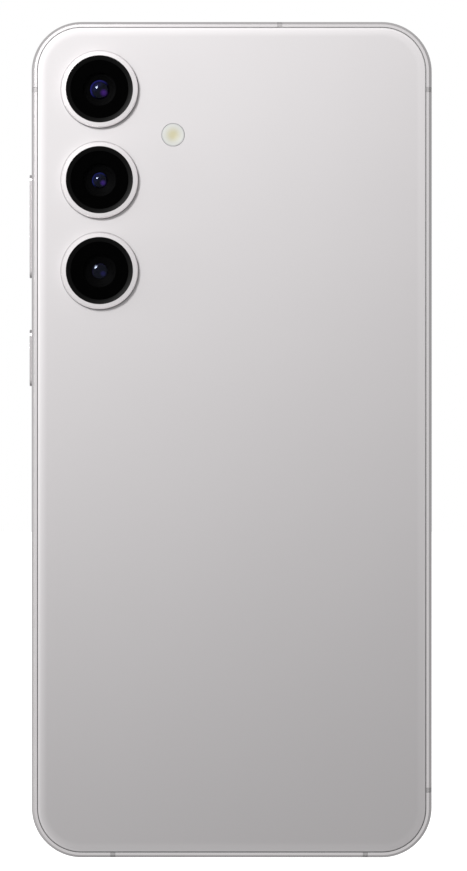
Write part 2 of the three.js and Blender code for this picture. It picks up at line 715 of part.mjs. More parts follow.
// A strip with one dome switch under the power key and one under each end of the volume key.
function keyFlex() {
	const inner = DOME_TIP + DOME_HEIGHT + KEY_FLEX;
	const outer = DOME_TIP + DOME_HEIGHT;
	const top = KEYS.volume.z + KEYS.volume.length / 2;
	const bottom = KEYS.power.z - KEYS.power.length / 2;
	const strip = block(outer, inner, -KEY_WIDTH / 2, KEY_WIDTH / 2, bottom, top);
	const places = [KEYS.power.z, KEYS.volume.z - DOME_SPREAD, KEYS.volume.z + DOME_SPREAD];
	const domes = places.map((z) => {
		const dome = new THREE.CylinderGeometry(DOME_RADIUS, DOME_TIP_RADIUS, DOME_HEIGHT + FIT, HOLE_FACETS);
		return dome.rotateZ(-Math.PI / 2).translate(outer - DOME_HEIGHT / 2 + FIT / 2, 0, z);
	});
	return join(strip, ...domes);
}

function addKeys() {
	for (const [name, { length, z }] of Object.entries(KEYS)) {
		add(`${name}_key`, keyBody(length), 'frame', -HALF_WIDTH, 0, z);
		add(`${name}_key_seal`, keySeal(length), 'rubber', -HALF_WIDTH, 0, z);
	}
	add('side_key_flex', keyFlex(), 'flex', -HALF_WIDTH, 0, 0);
}

// ---------------------------------------------------------------- display side

function slitShape(gap) {
	const half = SLIT_LENGTH / 2 - gap;
	const top = HEIGHT - RIM - GLASS_GAP;
	return roundedRect(-half, top - SLIT_WIDTH + gap, half, top + FIT - gap, SLIT_CORNER);
}

function addDisplay() {
	const glass = slab(outline(RIM + GLASS_GAP), FRONT - DISPLAY_GLASS, FRONT, DISPLAY_GLASS_ROUND);
	const slit = slab(slitShape(0), FRONT_LEDGE, FRONT + THROUGH, 0, 1);
	add('display_glass', cut(glass, slit), 'black_glass');
	const mesh = slab(slitShape(FIT), FRONT - DISPLAY_GLASS, FRONT - SLIT_DEPTH, 0, 1);
	add('earpiece_mesh', mesh, 'black_plastic');
	const panel = slab(outline(PANEL_WALL + SLIDE_FIT), FRONT_LEDGE - PANEL - FIT, FRONT_LEDGE - FIT);
	const hole = pin(SNOUT_RADIUS + SLIDE_FIT, PLATE_FRONT, FRONT, 0, FRONT_CAMERA_Z, LENS_FACETS);
	add('display_panel', cut(panel, hole), 'panel');
}

function addFrontCamera() {
	const half = FRONT_CAMERA_HALF;
	const front = PLATE_REAR - FIT;
	const housing = block(-half, half, MODULE_REAR, front, -half, half);
	const snout = turned([
		[0, front - 1],
		[SNOUT_RADIUS, front - 1],
		[SNOUT_RADIUS, FRONT_LEDGE],
		[0, FRONT_LEDGE],
	], LENS_FACETS);
	add('front_camera', join(housing, snout), 'lens', 0, 0, FRONT_CAMERA_Z);
}

function addEarpiece() {
	const top = HEIGHT - WALL - LOOSE;
	const end = EARPIECE_X0 + EARPIECE_LENGTH;
	const shape = roundedRect(EARPIECE_X0, top - EARPIECE_HEIGHT, end, top, MODULE_CORNER);
	const speaker = slab(shape, MODULE_REAR, PLATE_REAR - FIT, 0, MODULE_CURVE);
	add('earpiece_speaker', speaker, 'steel');
}

// The thin heat-spreading plate; the same shape with a gap cuts its pocket.
function chamberShape(gap) {
	return roundedRect(
		CHAMBER_X0 - gap,
		CHAMBER_Z0 - gap,
		CHAMBER_X1 + gap,
		HEIGHT - CHAMBER_FROM_TOP + gap,
		3 + gap,
	);
}

function addPlateInserts() {
	add('vapour_chamber', slab(chamberShape(0), PLATE_FRONT - CHAMBER, PLATE_FRONT), 'copper');
	const [rear, h] = [PLATE_FRONT - SENSOR, SENSOR_HALF];
	const sensor = block(-h, h, rear, PLATE_FRONT, SENSOR_HEIGHT - h, SENSOR_HEIGHT + h);
	add('fingerprint_sensor', sensor, 'panel');
}

// ---------------------------------------------------------------- bottom edge

function addUsbPort() {
	const [z0, z1] = [USB_SET_BACK, USB_SET_BACK + USB_DEPTH];
	const inner = stadium(USB_WIDTH - 2 * USB_METAL, USB_THICKNESS - 2 * USB_METAL, 0, PORT_Y);
	const outer = stadium(USB_WIDTH, USB_THICKNESS, 0, PORT_Y);
	const shell = cut(column(outer, z0, z1), column(inner, z0 - THROUGH, z1 - USB_METAL));
	add('usb_shell', shell, 'steel');
	const edge = USB_METAL + FIT;
	const base = stadium(USB_WIDTH - 2 * edge, USB_THICKNESS - 2 * edge, 0, PORT_Y);
	const back = z1 - edge;
	const half = TONGUE_THICKNESS / 2;
	const reach = TONGUE_WIDTH / 2;
	const tongue = join(
		column(base, back - TONGUE_BASE, back),
		block(-reach, reach, PORT_Y - half, PORT_Y + half, z0 + TONGUE_SET_BACK, back - FIT),
	);
	add('usb_tongue', tongue, 'black_plastic');
}

function addSimTray() {
	const half = SIM_TRAY_WIDTH / 2;
	const thick = SIM_TRAY_THICKNESS / 2;
	const end = SIM_FACE + SIM_TRAY_LENGTH;
	const card = SIM_CARD_WIDTH / 2;
	const cardTop = end - (SIM_TRAY_WIDTH - SIM_CARD_WIDTH) / 2;
	const hole = new THREE.CylinderGeometry(EJECT_RADIUS, EJECT_RADIUS, 2 * SIM_FACE + 2, HOLE_FACETS);
	const tray = cut(
		join(
			column(stadium(SIM_FACE_LENGTH, SIM_FACE_WIDTH), FIT, SIM_FACE),
			block(-half, half, -thick, thick, SIM_FACE - FIT, end),
		),
		block(-card, card, -1, 1, cardTop - SIM_CARD_LENGTH, cardTop),
		hole.rotateX(Math.PI / 2).translate(SIM_FACE_LENGTH / 2 - EJECT_FROM_END, 0, 0),
	);
	add('sim_tray', tray, 'frame', SIM_X, PORT_Y, 0);
	const shape = stadium(SIM_SEAL_LENGTH, SIM_SEAL_WIDTH);
	shape.holes.push(roundedRect(-half - FIT, -thick - FIT, half + FIT, thick + FIT, FIT));
	const seal = column(shape, SIM_FACE + FIT, SIM_FACE + FIT + SIM_SEAL);
	add('sim_tray_seal', seal, 'rubber', SIM_X, PORT_Y, 0);
}

function addSimReader() {
	const x = SIM_TRAY_WIDTH / 2 + LOOSE;
	const y = SIM_TRAY_THICKNESS / 2 + LOOSE;
	const [z0, z1] = [WALL + LOOSE, SIM_FACE + SIM_TRAY_LENGTH + LOOSE];
	const wall = SIM_READER_WALL;
	const housing = cut(
		block(-x - wall, x + wall, -y - wall, y + wall, z0, z1 + wall),
		block(-x, x, -y, y, z0 - THROUGH, z1),
	);
	add('sim_reader', housing, 'steel', SIM_X, PORT_Y, 0);
}

// ---------------------------------------------------------------- boards, battery and charging

function addBoards() {
	const z0 = UPPER_BAY + LOOSE;
	const z1 = HEIGHT - BOARD_FROM_TOP;
	const whole = roundedRect(BOARD_X0, z0, BOARD_X1, z1, MODULE_CORNER);
	const main = slab(whole, BOARD_REAR, BOARD_FRONT, 0, MODULE_CURVE);
	add('main_board', main, 'board');
	const canRear = COVER_FRONT + FIT;
	const canFront = BOARD_REAR - FIT;
	const left = BOARD_X0 + SHIELD_INSET;
	const right = BOARD_X1 - SHIELD_INSET;
	const split = (left + right) / 2 + SHIELD_OFFSET;
	const bottom = z0 + FLEX_HEAD + SHIELD_INSET;
	const can = (x0, x1) => slab(
		roundedRect(x0, bottom, x1, z1 - SHIELD_INSET, MODULE_CORNER),
		canRear,
		canFront,
		0,
		MODULE_CURVE,
	);
	add('processor_shield', can(left, split - FIT), 'steel');
	add('radio_shield', can(split + FIT, right), 'steel');
	const half = SUB_BOARD_HALF;
	const notch = USB_WIDTH / 2 + LOOSE;
	const lower = roundedRect(-half, WALL + LOOSE, half, LOWER_BAY - LOOSE, MODULE_CORNER);
	const sub = cut(
		slab(lower, BOARD_REAR, BOARD_FRONT, 0, MODULE_CURVE),
		block(-notch, notch, REAR, FRONT, 0, USB_SET_BACK + USB_DEPTH + LOOSE),
	);
	add('sub_board', sub, 'board');
}

function addBattery() {
	const half = INNER_X - BATTERY_SIDE;
	const shape = roundedRect(-half, LOWER_BAY + BATTERY_GAP, half, UPPER_BAY - LOOSE, BATTERY_CORNER);
	add('battery', slab(shape, BATTERY_REAR, PLATE_REAR - FIT, BATTERY_ROUND, MODULE_CURVE), 'battery');
}

// A flat cable that leaves the sub board, crosses the battery and ends on the main board.
function addBoardLink() {
	const low = BOARD_REAR - FIT;
	const high = FLEX_REAR;
	const foot = LOWER_BAY + BATTERY_GAP / 5;
	const head = UPPER_BAY - LOOSE / 2 + FLEX;
	const tail = foot - FLEX_TAIL;
	const tip = UPPER_BAY + LOOSE + FLEX_HEAD;
	const points = [
		[tail, low], [tail, low - FLEX], [foot, low - FLEX], [foot, high], [head, high],
		[head, low - FLEX], [tip, low - FLEX], [tip, low], [head - FLEX, low],
		[head - FLEX, high + FLEX], [foot + FLEX, high + FLEX], [foot + FLEX, low],
	];
	const shape = new THREE.Shape(points.map(([z, y]) => new THREE.Vector2(z, y)));
	add('board_link_flex', bar(shape, FLEX_X0, FLEX_X1), 'flex');
}

function addCharging() {
	const coil = turned([
		[COIL_INNER, COIL_REAR],
		[COIL_OUTER, COIL_REAR],
		[COIL_OUTER, COIL_REAR + COIL],
		[COIL_INNER, COIL_REAR + COIL],
		[COIL_INNER, COIL_REAR],
	], RING_FACETS);
	add('charging_coil', coil, 'copper', 0, 0, COIL_HEIGHT);
	const h = FERRITE_HALF;
	const sheet = slab(roundedRect(-h, -h, h, h, 4), FERRITE_REAR, FERRITE_REAR + COIL, 0, 2);
	add('charging_ferrite', sheet, 'ferrite', 0, 0, COIL_HEIGHT);
}

// ---------------------------------------------------------------- covers, sound and screws

function screwCuts(screws) {
	return screws.flatMap(({ x, z }) => [
		pin(SCREW_HOLE, REAR, FRONT, x, z, SCREW_FACETS),
		pin(SCREW_HEAD_RADIUS + SLIDE_FIT, REAR, COVER_REAR + COUNTERBORE, x, z, SCREW_FACETS),
	]);
}

function addUpperCover() {
	const left = CAMERA_X + CAMERA_BODY / 2 + SLIDE_FIT;
	const room = FLASH_BOARD / 2 + LOOSE;
	const [fx, fz] = [FLASH_X - HALF_WIDTH, HEIGHT - FLASH_Z];
	const sheet = common(
		slab(outline(WALL + LOOSE), COVER_REAR, COVER_FRONT),
		block(left, INNER_X, REAR, FRONT, UPPER_BAY + LOOSE, HEIGHT),
	);
	const window = block(fx - room, fx + room, REAR, FRONT, fz - room, fz + room);
	add('upper_cover', cut(sheet, window, ...screwCuts(SCREWS.slice(0, 4))), 'black_plastic');
}

function addLoudspeaker() {
	const front = PLATE_REAR - FIT;
	const z0 = WALL + SPEAKER_BOX_FOOT;
	const x = SPEAKER_EAR_SIDE_X;
	const z = SPEAKER_EAR_HEIGHT;
	const ear = BOSS_RADIUS + SLIDE_FIT;
	const whole = roundedRect(SPEAKER_X0, z0, SPEAKER_X1, SPEAKER_BOX_TOP, MODULE_CORNER);
	const rim = DISH_RIM;
	const dish = [SPEAKER_X0 + rim, z0 + rim, SPEAKER_X1 - rim, SPEAKER_BOX_TOP - rim];
	const recess = COVER_REAR + 2 * DIAPHRAGM_TRAVEL + DIAPHRAGM + DISH_ROOM;
	const box = cut(
		join(
			slab(whole, COVER_REAR, front, 0, MODULE_CURVE),
			block(x - ear, SPEAKER_X0 + FIT, COVER_REAR, COVER_FRONT, z - ear, z + ear),
			block(
				SPEAKER_EAR_X - ear,
				SPEAKER_EAR_X + ear,
				COVER_REAR,
				COVER_FRONT,
				SPEAKER_BOX_TOP - FIT,
				SPEAKER_EAR_TOP_Z + ear,
			),
		),
		slab(roundedRect(...dish, DISH_CORNER), REAR, recess, 0, SLOT_CURVE),
		...screwCuts(SCREWS.slice(4)),
	);
	add('loudspeaker_box', box, 'black_plastic');
	const [left, low, right, high] = dish;
	const g = SLIDE_FIT;
	const middle = (COVER_REAR + recess) / 2;
	const cone = slab(
		roundedRect(left + g, low + g, right - g, high - g, DISH_CORNER - g),
		middle - DIAPHRAGM / 2,
		middle + DIAPHRAGM / 2,
		0,
		SLOT_CURVE,
	);
	add('loudspeaker_diaphragm', cone, 'rubber');
}

function addVibrationMotor() {
	const front = PLATE_REAR - FIT;
	const rear = front - MOTOR_DEPTH;
	const [x, z] = [MOTOR_WIDTH / 2, MOTOR_LENGTH / 2];
	const w = MOTOR_WALL;
	const tub = cut(
		block(-x, x, rear, front, -z, z),
		block(w - x, x - w, rear - THROUGH, front - w, w - z, z - w),
	);
	add('vibration_case', tub, 'steel', MOTOR_X, 0, MOTOR_Z);
	const mx = x - w - SLIDE_FIT;
	const mz = z - w - SLIDE_FIT - MOTOR_TRAVEL;
	const mass = block(-mx, mx, rear + w, front - w - SLIDE_FIT, -mz, mz);
	add('vibration_mass', mass, 'tungsten', MOTOR_X, 0, MOTOR_Z);
}

// A flat-head screw with a tapered socket.
function screw() {
	const head = SCREW_SEAT - SCREW_HEAD;
	return turned([
		[0, head + SOCKET_DEPTH],
		[SOCKET_RADIUS, head],
		[SCREW_HEAD_RADIUS, head],
		[SCREW_HEAD_RADIUS, SCREW_SEAT],
		[SCREW_RADIUS, SCREW_SEAT],
		[SCREW_RADIUS, SCREW_SEAT + SCREW_LENGTH - SCREW_POINT],
		[0, SCREW_SEAT + SCREW_LENGTH],
	], SCREW_FACETS);
}

function addScrews() {
	for (const { name, x, z } of SCREWS) {
		add(name, screw(), 'steel', x, 0, z);
	}
}

addFrame();
addRearGlass();
addAdhesives();
addCameras();
addFlash();
addKeys();
addDisplay();
addFrontCamera();
addEarpiece();
addPlateInserts();
addUsbPort();
addSimTray();
addSimReader();
addBoards();
addBattery();
addBoardLink();
addCharging();
addUpperCover();
addLoudspeaker();
addVibrationMotor();
addScrews();

export default phone;
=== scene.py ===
import json
import math

import bmesh
import bpy
from mathutils import Euler, Matrix, Vector


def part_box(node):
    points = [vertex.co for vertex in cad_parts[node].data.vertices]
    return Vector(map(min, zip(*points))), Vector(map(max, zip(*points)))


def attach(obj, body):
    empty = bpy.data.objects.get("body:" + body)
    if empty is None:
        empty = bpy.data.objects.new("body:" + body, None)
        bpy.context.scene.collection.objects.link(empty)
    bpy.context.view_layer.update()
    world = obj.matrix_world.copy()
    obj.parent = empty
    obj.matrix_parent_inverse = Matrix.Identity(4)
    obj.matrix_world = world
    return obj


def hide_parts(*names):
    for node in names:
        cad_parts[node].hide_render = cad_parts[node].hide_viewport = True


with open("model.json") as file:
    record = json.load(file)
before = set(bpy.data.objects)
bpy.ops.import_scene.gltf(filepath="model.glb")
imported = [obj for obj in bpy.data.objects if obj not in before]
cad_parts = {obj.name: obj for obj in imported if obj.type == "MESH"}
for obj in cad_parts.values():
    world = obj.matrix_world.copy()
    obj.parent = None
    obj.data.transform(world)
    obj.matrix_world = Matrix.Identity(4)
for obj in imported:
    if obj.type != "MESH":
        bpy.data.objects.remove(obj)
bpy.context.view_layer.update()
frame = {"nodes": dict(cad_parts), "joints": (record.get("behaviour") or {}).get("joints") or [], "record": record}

MM = 0.001

# Sizes of the looks, in metres. Places come from the CAD boxes below.
CORNER_RADIUS = 9.5 * MM
EDGE_WIDTH = 0.6 * MM             # of the frame's curved flank, seen from behind
EDGE_START = math.radians(49)     # slope at which the flank leaves the flat lip
EDGE_RADIUS = EDGE_WIDTH / (1 - math.sin(EDGE_START))
EDGE_DEPTH = EDGE_RADIUS * math.cos(EDGE_START)
LIP = 1.1 * MM
REAR_STEP = 0.2 * MM              # how far the cover stands proud of the lip
FRONT_STEP = 0.12 * MM            # the same for the display
WALL = 2.6 * MM
PANEL_WALL = 2.2 * MM
CORNER_STEPS = 24
ROUND_STEPS = 8
TURN_STEPS = 96
LENS_STEPS = 64
PILL_STEPS = 12
SOFT_STEPS = 4
DOME_STEPS = 12
SHARP_FROM = math.radians(32)     # edges steeper than this stay sharp
MERGE = 0.0005 * MM               # points closer than this are one
ALMOST = 0.9999                   # keeps the ends of a slot from closing on themselves

frame_low, frame_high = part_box("frame")
cover_low, cover_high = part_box("rear_glass")
display_low, display_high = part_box("display_glass")
panel_low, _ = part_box("display_panel")
PHONE_HEIGHT = frame_high.z
LENSES = {
    "top": "phone",
    "middle": "main_lens_body",
    "bottom": "tele_lens_body",
}
BANDS = ("left", "right_upper", "right_lower", "top", "bottom_left", "bottom_right")


def centre_of(node):
    """The middle of a CAD node's box."""
    low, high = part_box(node)
    return (low + high) / 2


# ------------------------------------------------------------------ shader graph

MIX_FACTOR, MIX_FIRST, MIX_SECOND = 0, 6, 7     # a colour Mix node's input sockets
MIX_COLOUR = 2                                  # and its output socket


class Socket:
    """A shader output that adds Math nodes when it is used in an expression."""

    def __init__(self, graph, output):
        self.graph = graph
        self.output = output

    def _math(self, operation, *values):
        return self.graph.node("ShaderNodeMath", {"operation": operation}, values)

    def __add__(self, other):
        return self._math("ADD", self, other)

    def __radd__(self, other):
        return self._math("ADD", other, self)

    def __sub__(self, other):
        return self._math("SUBTRACT", self, other)

    def __rsub__(self, other):
        return self._math("SUBTRACT", other, self)

    def __mul__(self, other):
        return self._math("MULTIPLY", self, other)

    def __rmul__(self, other):
        return self._math("MULTIPLY", other, self)

    def __truediv__(self, other):
        return self._math("DIVIDE", self, other)

    def __rtruediv__(self, other):
        return self._math("DIVIDE", other, self)

    def __lt__(self, other):
        return self._math("LESS_THAN", self, other)

    def __gt__(self, other):
        return self._math("GREATER_THAN", self, other)

    def abs(self):
        return self._math("ABSOLUTE", self)

    def max(self, other):
        return self._math("MAXIMUM", self, other)

    def sqrt(self):
        return self._math("SQRT", self)

    def sine(self):
        return self._math("SINE", self)

    def step_up(self, low, high):
        """0 below low, 1 above high, smooth between."""
        settings = {"interpolation_type": "SMOOTHSTEP"}
        return self.graph.node("ShaderNodeMapRange", settings, {0: self, 1: low, 2: high})


class Graph:
    """The node tree of a material or of the world."""

    def __init__(self, tree):
        self.tree = tree
        tree.nodes.clear()

    def node(self, kind, settings=None, inputs=(), output=0):
        """Adds one node, sets it, fills its sockets with values or links, and returns one output."""
        made = self.tree.nodes.new(kind)
        for name, value in (settings or {}).items():
            setattr(made, name, value)
        pairs = inputs.items() if isinstance(inputs, dict) else enumerate(inputs)
        for key, value in pairs:
            if isinstance(value, Socket):
                self.tree.links.new(value.output, made.inputs[key])
            else:
                made.inputs[key].default_value = value
        return Socket(self, made.outputs[output]) if made.outputs else None

    def place(self, centre=(0, 0, 0)):
        """Object coordinates about a centre, as a vector and as x, y and z."""
        here = self.node("ShaderNodeTexCoord", output="Object")
        moved = self.node("ShaderNodeVectorMath", {"operation": "SUBTRACT"}, (here, centre))
        return moved, *(self.node("ShaderNodeSeparateXYZ", {}, (moved,), i) for i in range(3))

    def noise(self, vector, scale, detail=2.0, roughness=0.5):
        inputs = {"Vector": vector, "Scale": scale, "Detail": detail, "Roughness": roughness}
        return self.node("ShaderNodeTexNoise", {}, inputs, "Fac")

    def blend(self, factor, first, second):
        """Mixes two colours by a factor."""
        sockets = {MIX_FACTOR: factor, MIX_FIRST: first, MIX_SECOND: second}
        return self.node("ShaderNodeMix", {"data_type": "RGBA"}, sockets, MIX_COLOUR)

    def bump(self, height, strength, distance):
        inputs = {"Height": height, "Strength": strength, "Distance": distance}
        return self.node("ShaderNodeBump", {}, inputs)

    def output(self, shader, kind="ShaderNodeOutputMaterial"):
        self.node(kind, {}, (shader,))


def material(name):
    made = bpy.data.materials.new(name)
    made.use_nodes = True
    return made, Graph(made.node_tree)


def grey(value):
    """A neutral colour."""
    return (value, value, value, 1.0)


def dim(colour, share):
    """A colour made darker, or lighter with a share over 1."""
    return [part * share for part in colour[:3]] + [1.0]


def silver(value):
    """The faintly warm silver of the cover and the frame."""
    return (value * 1.02, value * 0.985, value * 0.997, 1.0)


def finish(graph, **inputs):
    """A Principled shader straight to the material's output."""
    sockets = {name.replace("_", " "): value for name, value in inputs.items()}
    graph.output(graph.node("ShaderNodeBsdfPrincipled", {}, sockets))


# ------------------------------------------------------------------ finishes

def frosted_glass():
    """Etched glass over a silver coat: fine grain, slight clouding, and a painted highlight that makes the curved
    margin paler outwards.
    """
    made, g = material("frosted_glass")
    middle = (cover_low + cover_high) / 2
    half = cover_high - middle
    here, x, _, z = g.place(middle)
    radius = CORNER_RADIUS - (cover_low.x - frame_low.x)
    across = (x.abs() - (half.x - radius)).max(0.0)
    along = (z.abs() - (half.z - radius)).max(0.0)
    corner = (across * across + along * along).sqrt()
    side = (x.abs() - half.x).max(z.abs() - half.z)
    depth = (corner - radius).max(side) * -1.0
    # painted highlight: the curved margin is made paler, in place of the light its slope catches
    margin = depth.step_up(0.45 * MM, 0.85 * MM) * (1 - depth.step_up(0.9 * MM, 2.0 * MM))
    grain = g.noise(here, 9000, 1.0)
    cloud = g.noise(here, 35, 2.0)
    colour = g.blend(cloud * 0.5 + grain * 0.5, silver(0.485), silver(0.515))
    colour = g.blend(margin, colour, silver(0.55))
    # painted highlight: thin marks the outermost edge, made paler still in place of the light on the steepest part
    # of the curve
    thin = 1 - depth.step_up(0.2 * MM, 1.0 * MM)
    colour = g.blend(thin, colour, silver(0.62))
    finish(
        g,
        Base_Color=colour,
        Roughness=grain * 0.06 + 0.5,
        IOR=1.35,
        Normal=g.bump(grain, 0.12, 0.02 * MM),
    )
    return made


def satin_metal(name, tone, roughness, tint=silver):
    """Fine-blasted anodised aluminium."""
    made, g = material(name)
    here, *_ = g.place()
    grain = g.noise(here, 14000, 1.0)
    drift = g.noise(here, 60, 2.0)
    colour = g.blend(drift, tint(tone * 0.98), tint(tone * 1.02))
    finish(
        g,
        Base_Color=colour,
        Metallic=1.0,
        Roughness=grain * 0.08 + (roughness - 0.04),
        Normal=g.bump(grain, 0.1, 0.01 * MM),
    )
    return made


def plastic(name, colour, roughness, grain_size=0.12 * MM, gloss=0.5):
    """Moulded plastic with a fine spark-eroded grain."""
    made, g = material(name)
    here, *_ = g.place()
    grain = g.noise(here, 1 / grain_size, 2.0)
    shade = g.blend(grain, dim(colour, 0.9), dim(colour, 1.1))
    finish(
        g,
        Base_Color=shade,
        Roughness=grain * 0.1 + (roughness - 0.05),
        Specular_IOR_Level=gloss,
        Normal=g.bump(grain, 0.2, 0.01 * MM),
    )
    return made


def band_resin():
    """Moulding resin tinted with metal flake to match the frame."""
    made, g = material("antenna_plastic")
    here, *_ = g.place()
    flake = g.noise(here, 16000, 1.0)
    colour = g.blend(flake, silver(0.5), silver(0.64))
    finish(g, Base_Color=colour, Metallic=0.85, Roughness=flake * 0.1 + 0.2)
    return made


# ------------------------------------------------------------------ mesh helpers

def link_mesh(bm, name):
    """Moves a bmesh into an object of the scene."""
    mesh = bpy.data.meshes.new(name)
    bm.to_mesh(mesh)
    bm.free()
    obj = bpy.data.objects.new(name, mesh)
    bpy.context.scene.collection.objects.link(obj)
    return obj


def new_piece(name, bm, paint, body, nodes=()):
    """Turns a bmesh into a finished object that rides on a body."""
    bmesh.ops.remove_doubles(bm, verts=bm.verts, dist=MERGE)
    bmesh.ops.recalc_face_normals(bm, faces=bm.faces)
    return dress(link_mesh(bm, name), paint, body, nodes)


def dress(obj, paint, body, nodes=()):
    """Gives an object its finish, its shading and its body."""
    obj.data.materials.clear()
    obj.data.materials.append(paint)
    obj.data.shade_smooth()
    obj.data.set_sharp_from_angle(angle=SHARP_FROM)
    weighted = obj.modifiers.new("weighted_normal", "WEIGHTED_NORMAL")
    weighted.mode = "FACE_AREA"
    weighted.weight = 100
    weighted.keep_sharp = True
    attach(obj, body)
    if nodes:
        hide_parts(*nodes)
    return obj


def bare(bm, name):
    """A plain object from a bmesh, for cutting."""
    bmesh.ops.recalc_face_normals(bm, faces=bm.faces)
    return link_mesh(bm, name)


def carve(obj, cutters, operation="DIFFERENCE"):
    """Applies exact booleans and takes the cutters away."""
    for cutter in cutters:
        step = obj.modifiers.new(cutter.name, "BOOLEAN")
        step.operation = operation
        step.solver = "EXACT"
        step.object = cutter
    bpy.context.view_layer.update()
    seen = obj.evaluated_get(bpy.context.evaluated_depsgraph_get())
    mesh = bpy.data.meshes.new_from_object(seen)
    obj.modifiers.clear()
    obj.data = mesh
    for cutter in cutters:
        bpy.data.objects.remove(cutter)
    return obj


def rounded_face(bm, low, high, radius, y, steps=CORNER_STEPS):
    """A flat face with round corners at one depth, facing the rear."""
    spots = ((low.x, low.z), (high.x, low.z), (high.x, high.z), (low.x, high.z))
    corners = [bm.verts.new((x, y, z)) for x, z in spots]
    bm.faces.new(corners)
    bmesh.ops.bevel(
        bm,
        geom=corners,
        offset=radius,
        offset_type="OFFSET",
        segments=steps,
        profile=0.5,
        affect="VERTICES",
        material=-1,
    )
    bm.normal_update()
    return max(bm.faces, key=lambda flat: flat.calc_area())


def push_back(bm, faces, depth):
    """Extrudes faces along the thickness, and keeps them too, so that they close a solid."""
    made = bmesh.ops.extrude_face_region(bm, geom=faces, use_keep_orig=True)
    moved = [part for part in made["geom"] if isinstance(part, bmesh.types.BMVert)]
    bmesh.ops.translate(bm, verts=moved, vec=(0, depth, 0))


def thicken(bm, face, depth):
    """Makes a closed plate from a rear-facing face, and gives back both its ends."""
    y = face.verts[0].co.y
    push_back(bm, [face], depth)
    bmesh.ops.recalc_face_normals(bm, faces=bm.faces)
    ends = [f for f in bm.faces if abs(f.normal.y) > 0.99]
    rear = next(f for f in ends if abs(f.verts[0].co.y - y) < abs(depth) / 2)
    front = next(f for f in ends if f is not rear)
    return rear, front


def sink(bm, face, depth):
    """Pushes a face in along its normal, with walls behind it."""
    normal = face.normal.copy()
    made = bmesh.ops.extrude_discrete_faces(bm, faces=[face])["faces"][0]
    bmesh.ops.translate(bm, verts=made.verts, vec=-normal * depth)
    bm.normal_update()
    return made


def draw_in(bm, face, inset, drop=0.0):
    """Insets a face, and lowers it by drop."""
    bmesh.ops.inset_individual(bm, faces=[face], thickness=inset, depth=-drop, use_even_offset=True)
    return face


def soften(bm, edges, size):
    """Rounds edges off."""
    bmesh.ops.bevel(
        bm,
        geom=edges,
        offset=size,
        offset_type="OFFSET",
        segments=SOFT_STEPS,
        profile=0.5,
        affect="EDGES",
        material=-1,
        clamp_overlap=True,
    )


def turned(profile, x, z, steps=TURN_STEPS):
    """A body of revolution about the thickness axis through (x, z), from (radius, y) pairs."""
    bm = bmesh.new()
    spots = [bm.verts.new((radius, y, 0)) for radius, y in profile]
    edges = [bm.edges.new(pair) for pair in zip(spots, spots[1:])]
    bmesh.ops.spin(
        bm,
        geom=spots + edges,
        cent=(0, 0, 0),
        axis=(0, 1, 0),
        angle=math.tau,
        steps=steps,
        use_merge=True,
    )
    bmesh.ops.remove_doubles(bm, verts=bm.verts, dist=MERGE)
    bmesh.ops.translate(bm, verts=bm.verts, vec=(x, 0, z))
    return bm


def round_cutter(name, spot, radius, start, end, steps):
    """A disc about the thickness axis, from one depth to another, for cutting."""
    outline = [(0, start), (radius, start), (radius, end), (0, end)]
    return bare(turned(outline, spot.x, spot.z, steps), name)


def pill(length, width, depth):
    """A slot-shaped plate with half-round ends, along X, thick along Y from 0 to depth."""
    bm = bmesh.new()
    half = Vector((length / 2, 0, width / 2))
    face = rounded_face(bm, -half, half, width / 2 * ALMOST, 0, PILL_STEPS)
    return bm, *thicken(bm, face, depth)


def turn_to(bm, directions, spot):
    """Turns a bmesh so that its X, Y and Z go to three directions, then moves it to a spot."""
    turn = Matrix(directions).transposed().to_4x4()
    bmesh.ops.transform(bm, matrix=Matrix.Translation(spot) @ turn, verts=bm.verts)
    return bm


# ------------------------------------------------------------------ frame

REAR_BOND = 0.15 * MM             # of adhesive under the rear cover
FRONT_BOND = 0.11 * MM            # the same under the display
PLATE_GAP = 0.05 * MM             # from the middle plate to the battery and the display panel
KEY_LIP = 0.35 * MM               # of a key's flange round its cap
KEY_GAP = 0.1 * MM                # round a key's cap
KEY_BAY = 3.6 * MM                # width of the bay behind the keys
KEY_BAY_SPARE = 2 * MM            # of that bay beyond the key film, at each end
KEY_SKIN = 1.0 * MM               # of metal in front of that bay
BAY_OVERLAP = 0.05 * MM           # of that bay with the space inside the frame
PORT_GAP = 0.05 * MM              # round the charging socket
TRAY_GAP = 0.1 * MM               # round the card tray's face
TRAY_FACE = 1.1 * MM              # thickness of that face
TRAY_MOUTH = (12.7 * MM, 2.1 * MM)
SOUND_SLOTS = 6
SOUND_MIDDLE = -14.6 * MM
SOUND_PITCH = 1.95 * MM
SOUND_SLOT = (1.4 * MM, 0.9 * MM)
MIC_HOLE = 0.9 * MM
MIC_LOW = -7.0 * MM               # place of the lower microphone hole
MIC_HIGH = -9.0 * MM              # and of the upper one
SKIN_REACH = 3 * MM               # depth of the key slots' cutters
CUT_REACH = 2 * MM                # how far a cutter stands out of the frame
CUT_SPARE = 0.5 * MM              # how far a cutter runs past the wall
BAND_GAP = 0.02 * MM              # between an antenna band and the metal
RIGHT, BACK, UP = Vector((1, 0, 0)), Vector((0, 1, 0)), Vector((0, 0, 1))


def raise_profile(bm, face, points):
    """Insets and raises a flat face along the (inset, rise) points of a curved margin."""
    spent = (0.0, 0.0)
    for inset, rise in points:
        draw_in(bm, face, inset - spent[0], spent[1] - rise)
        spent = (inset, rise)


def flank_slopes():
    """The slopes of the frame's and the rings' rounded flanks, from upright to the lip's edge."""
    fall = math.pi / 2 - EDGE_START
    return [math.pi / 2 - fall * i / ROUND_STEPS for i in range(ROUND_STEPS + 1)]


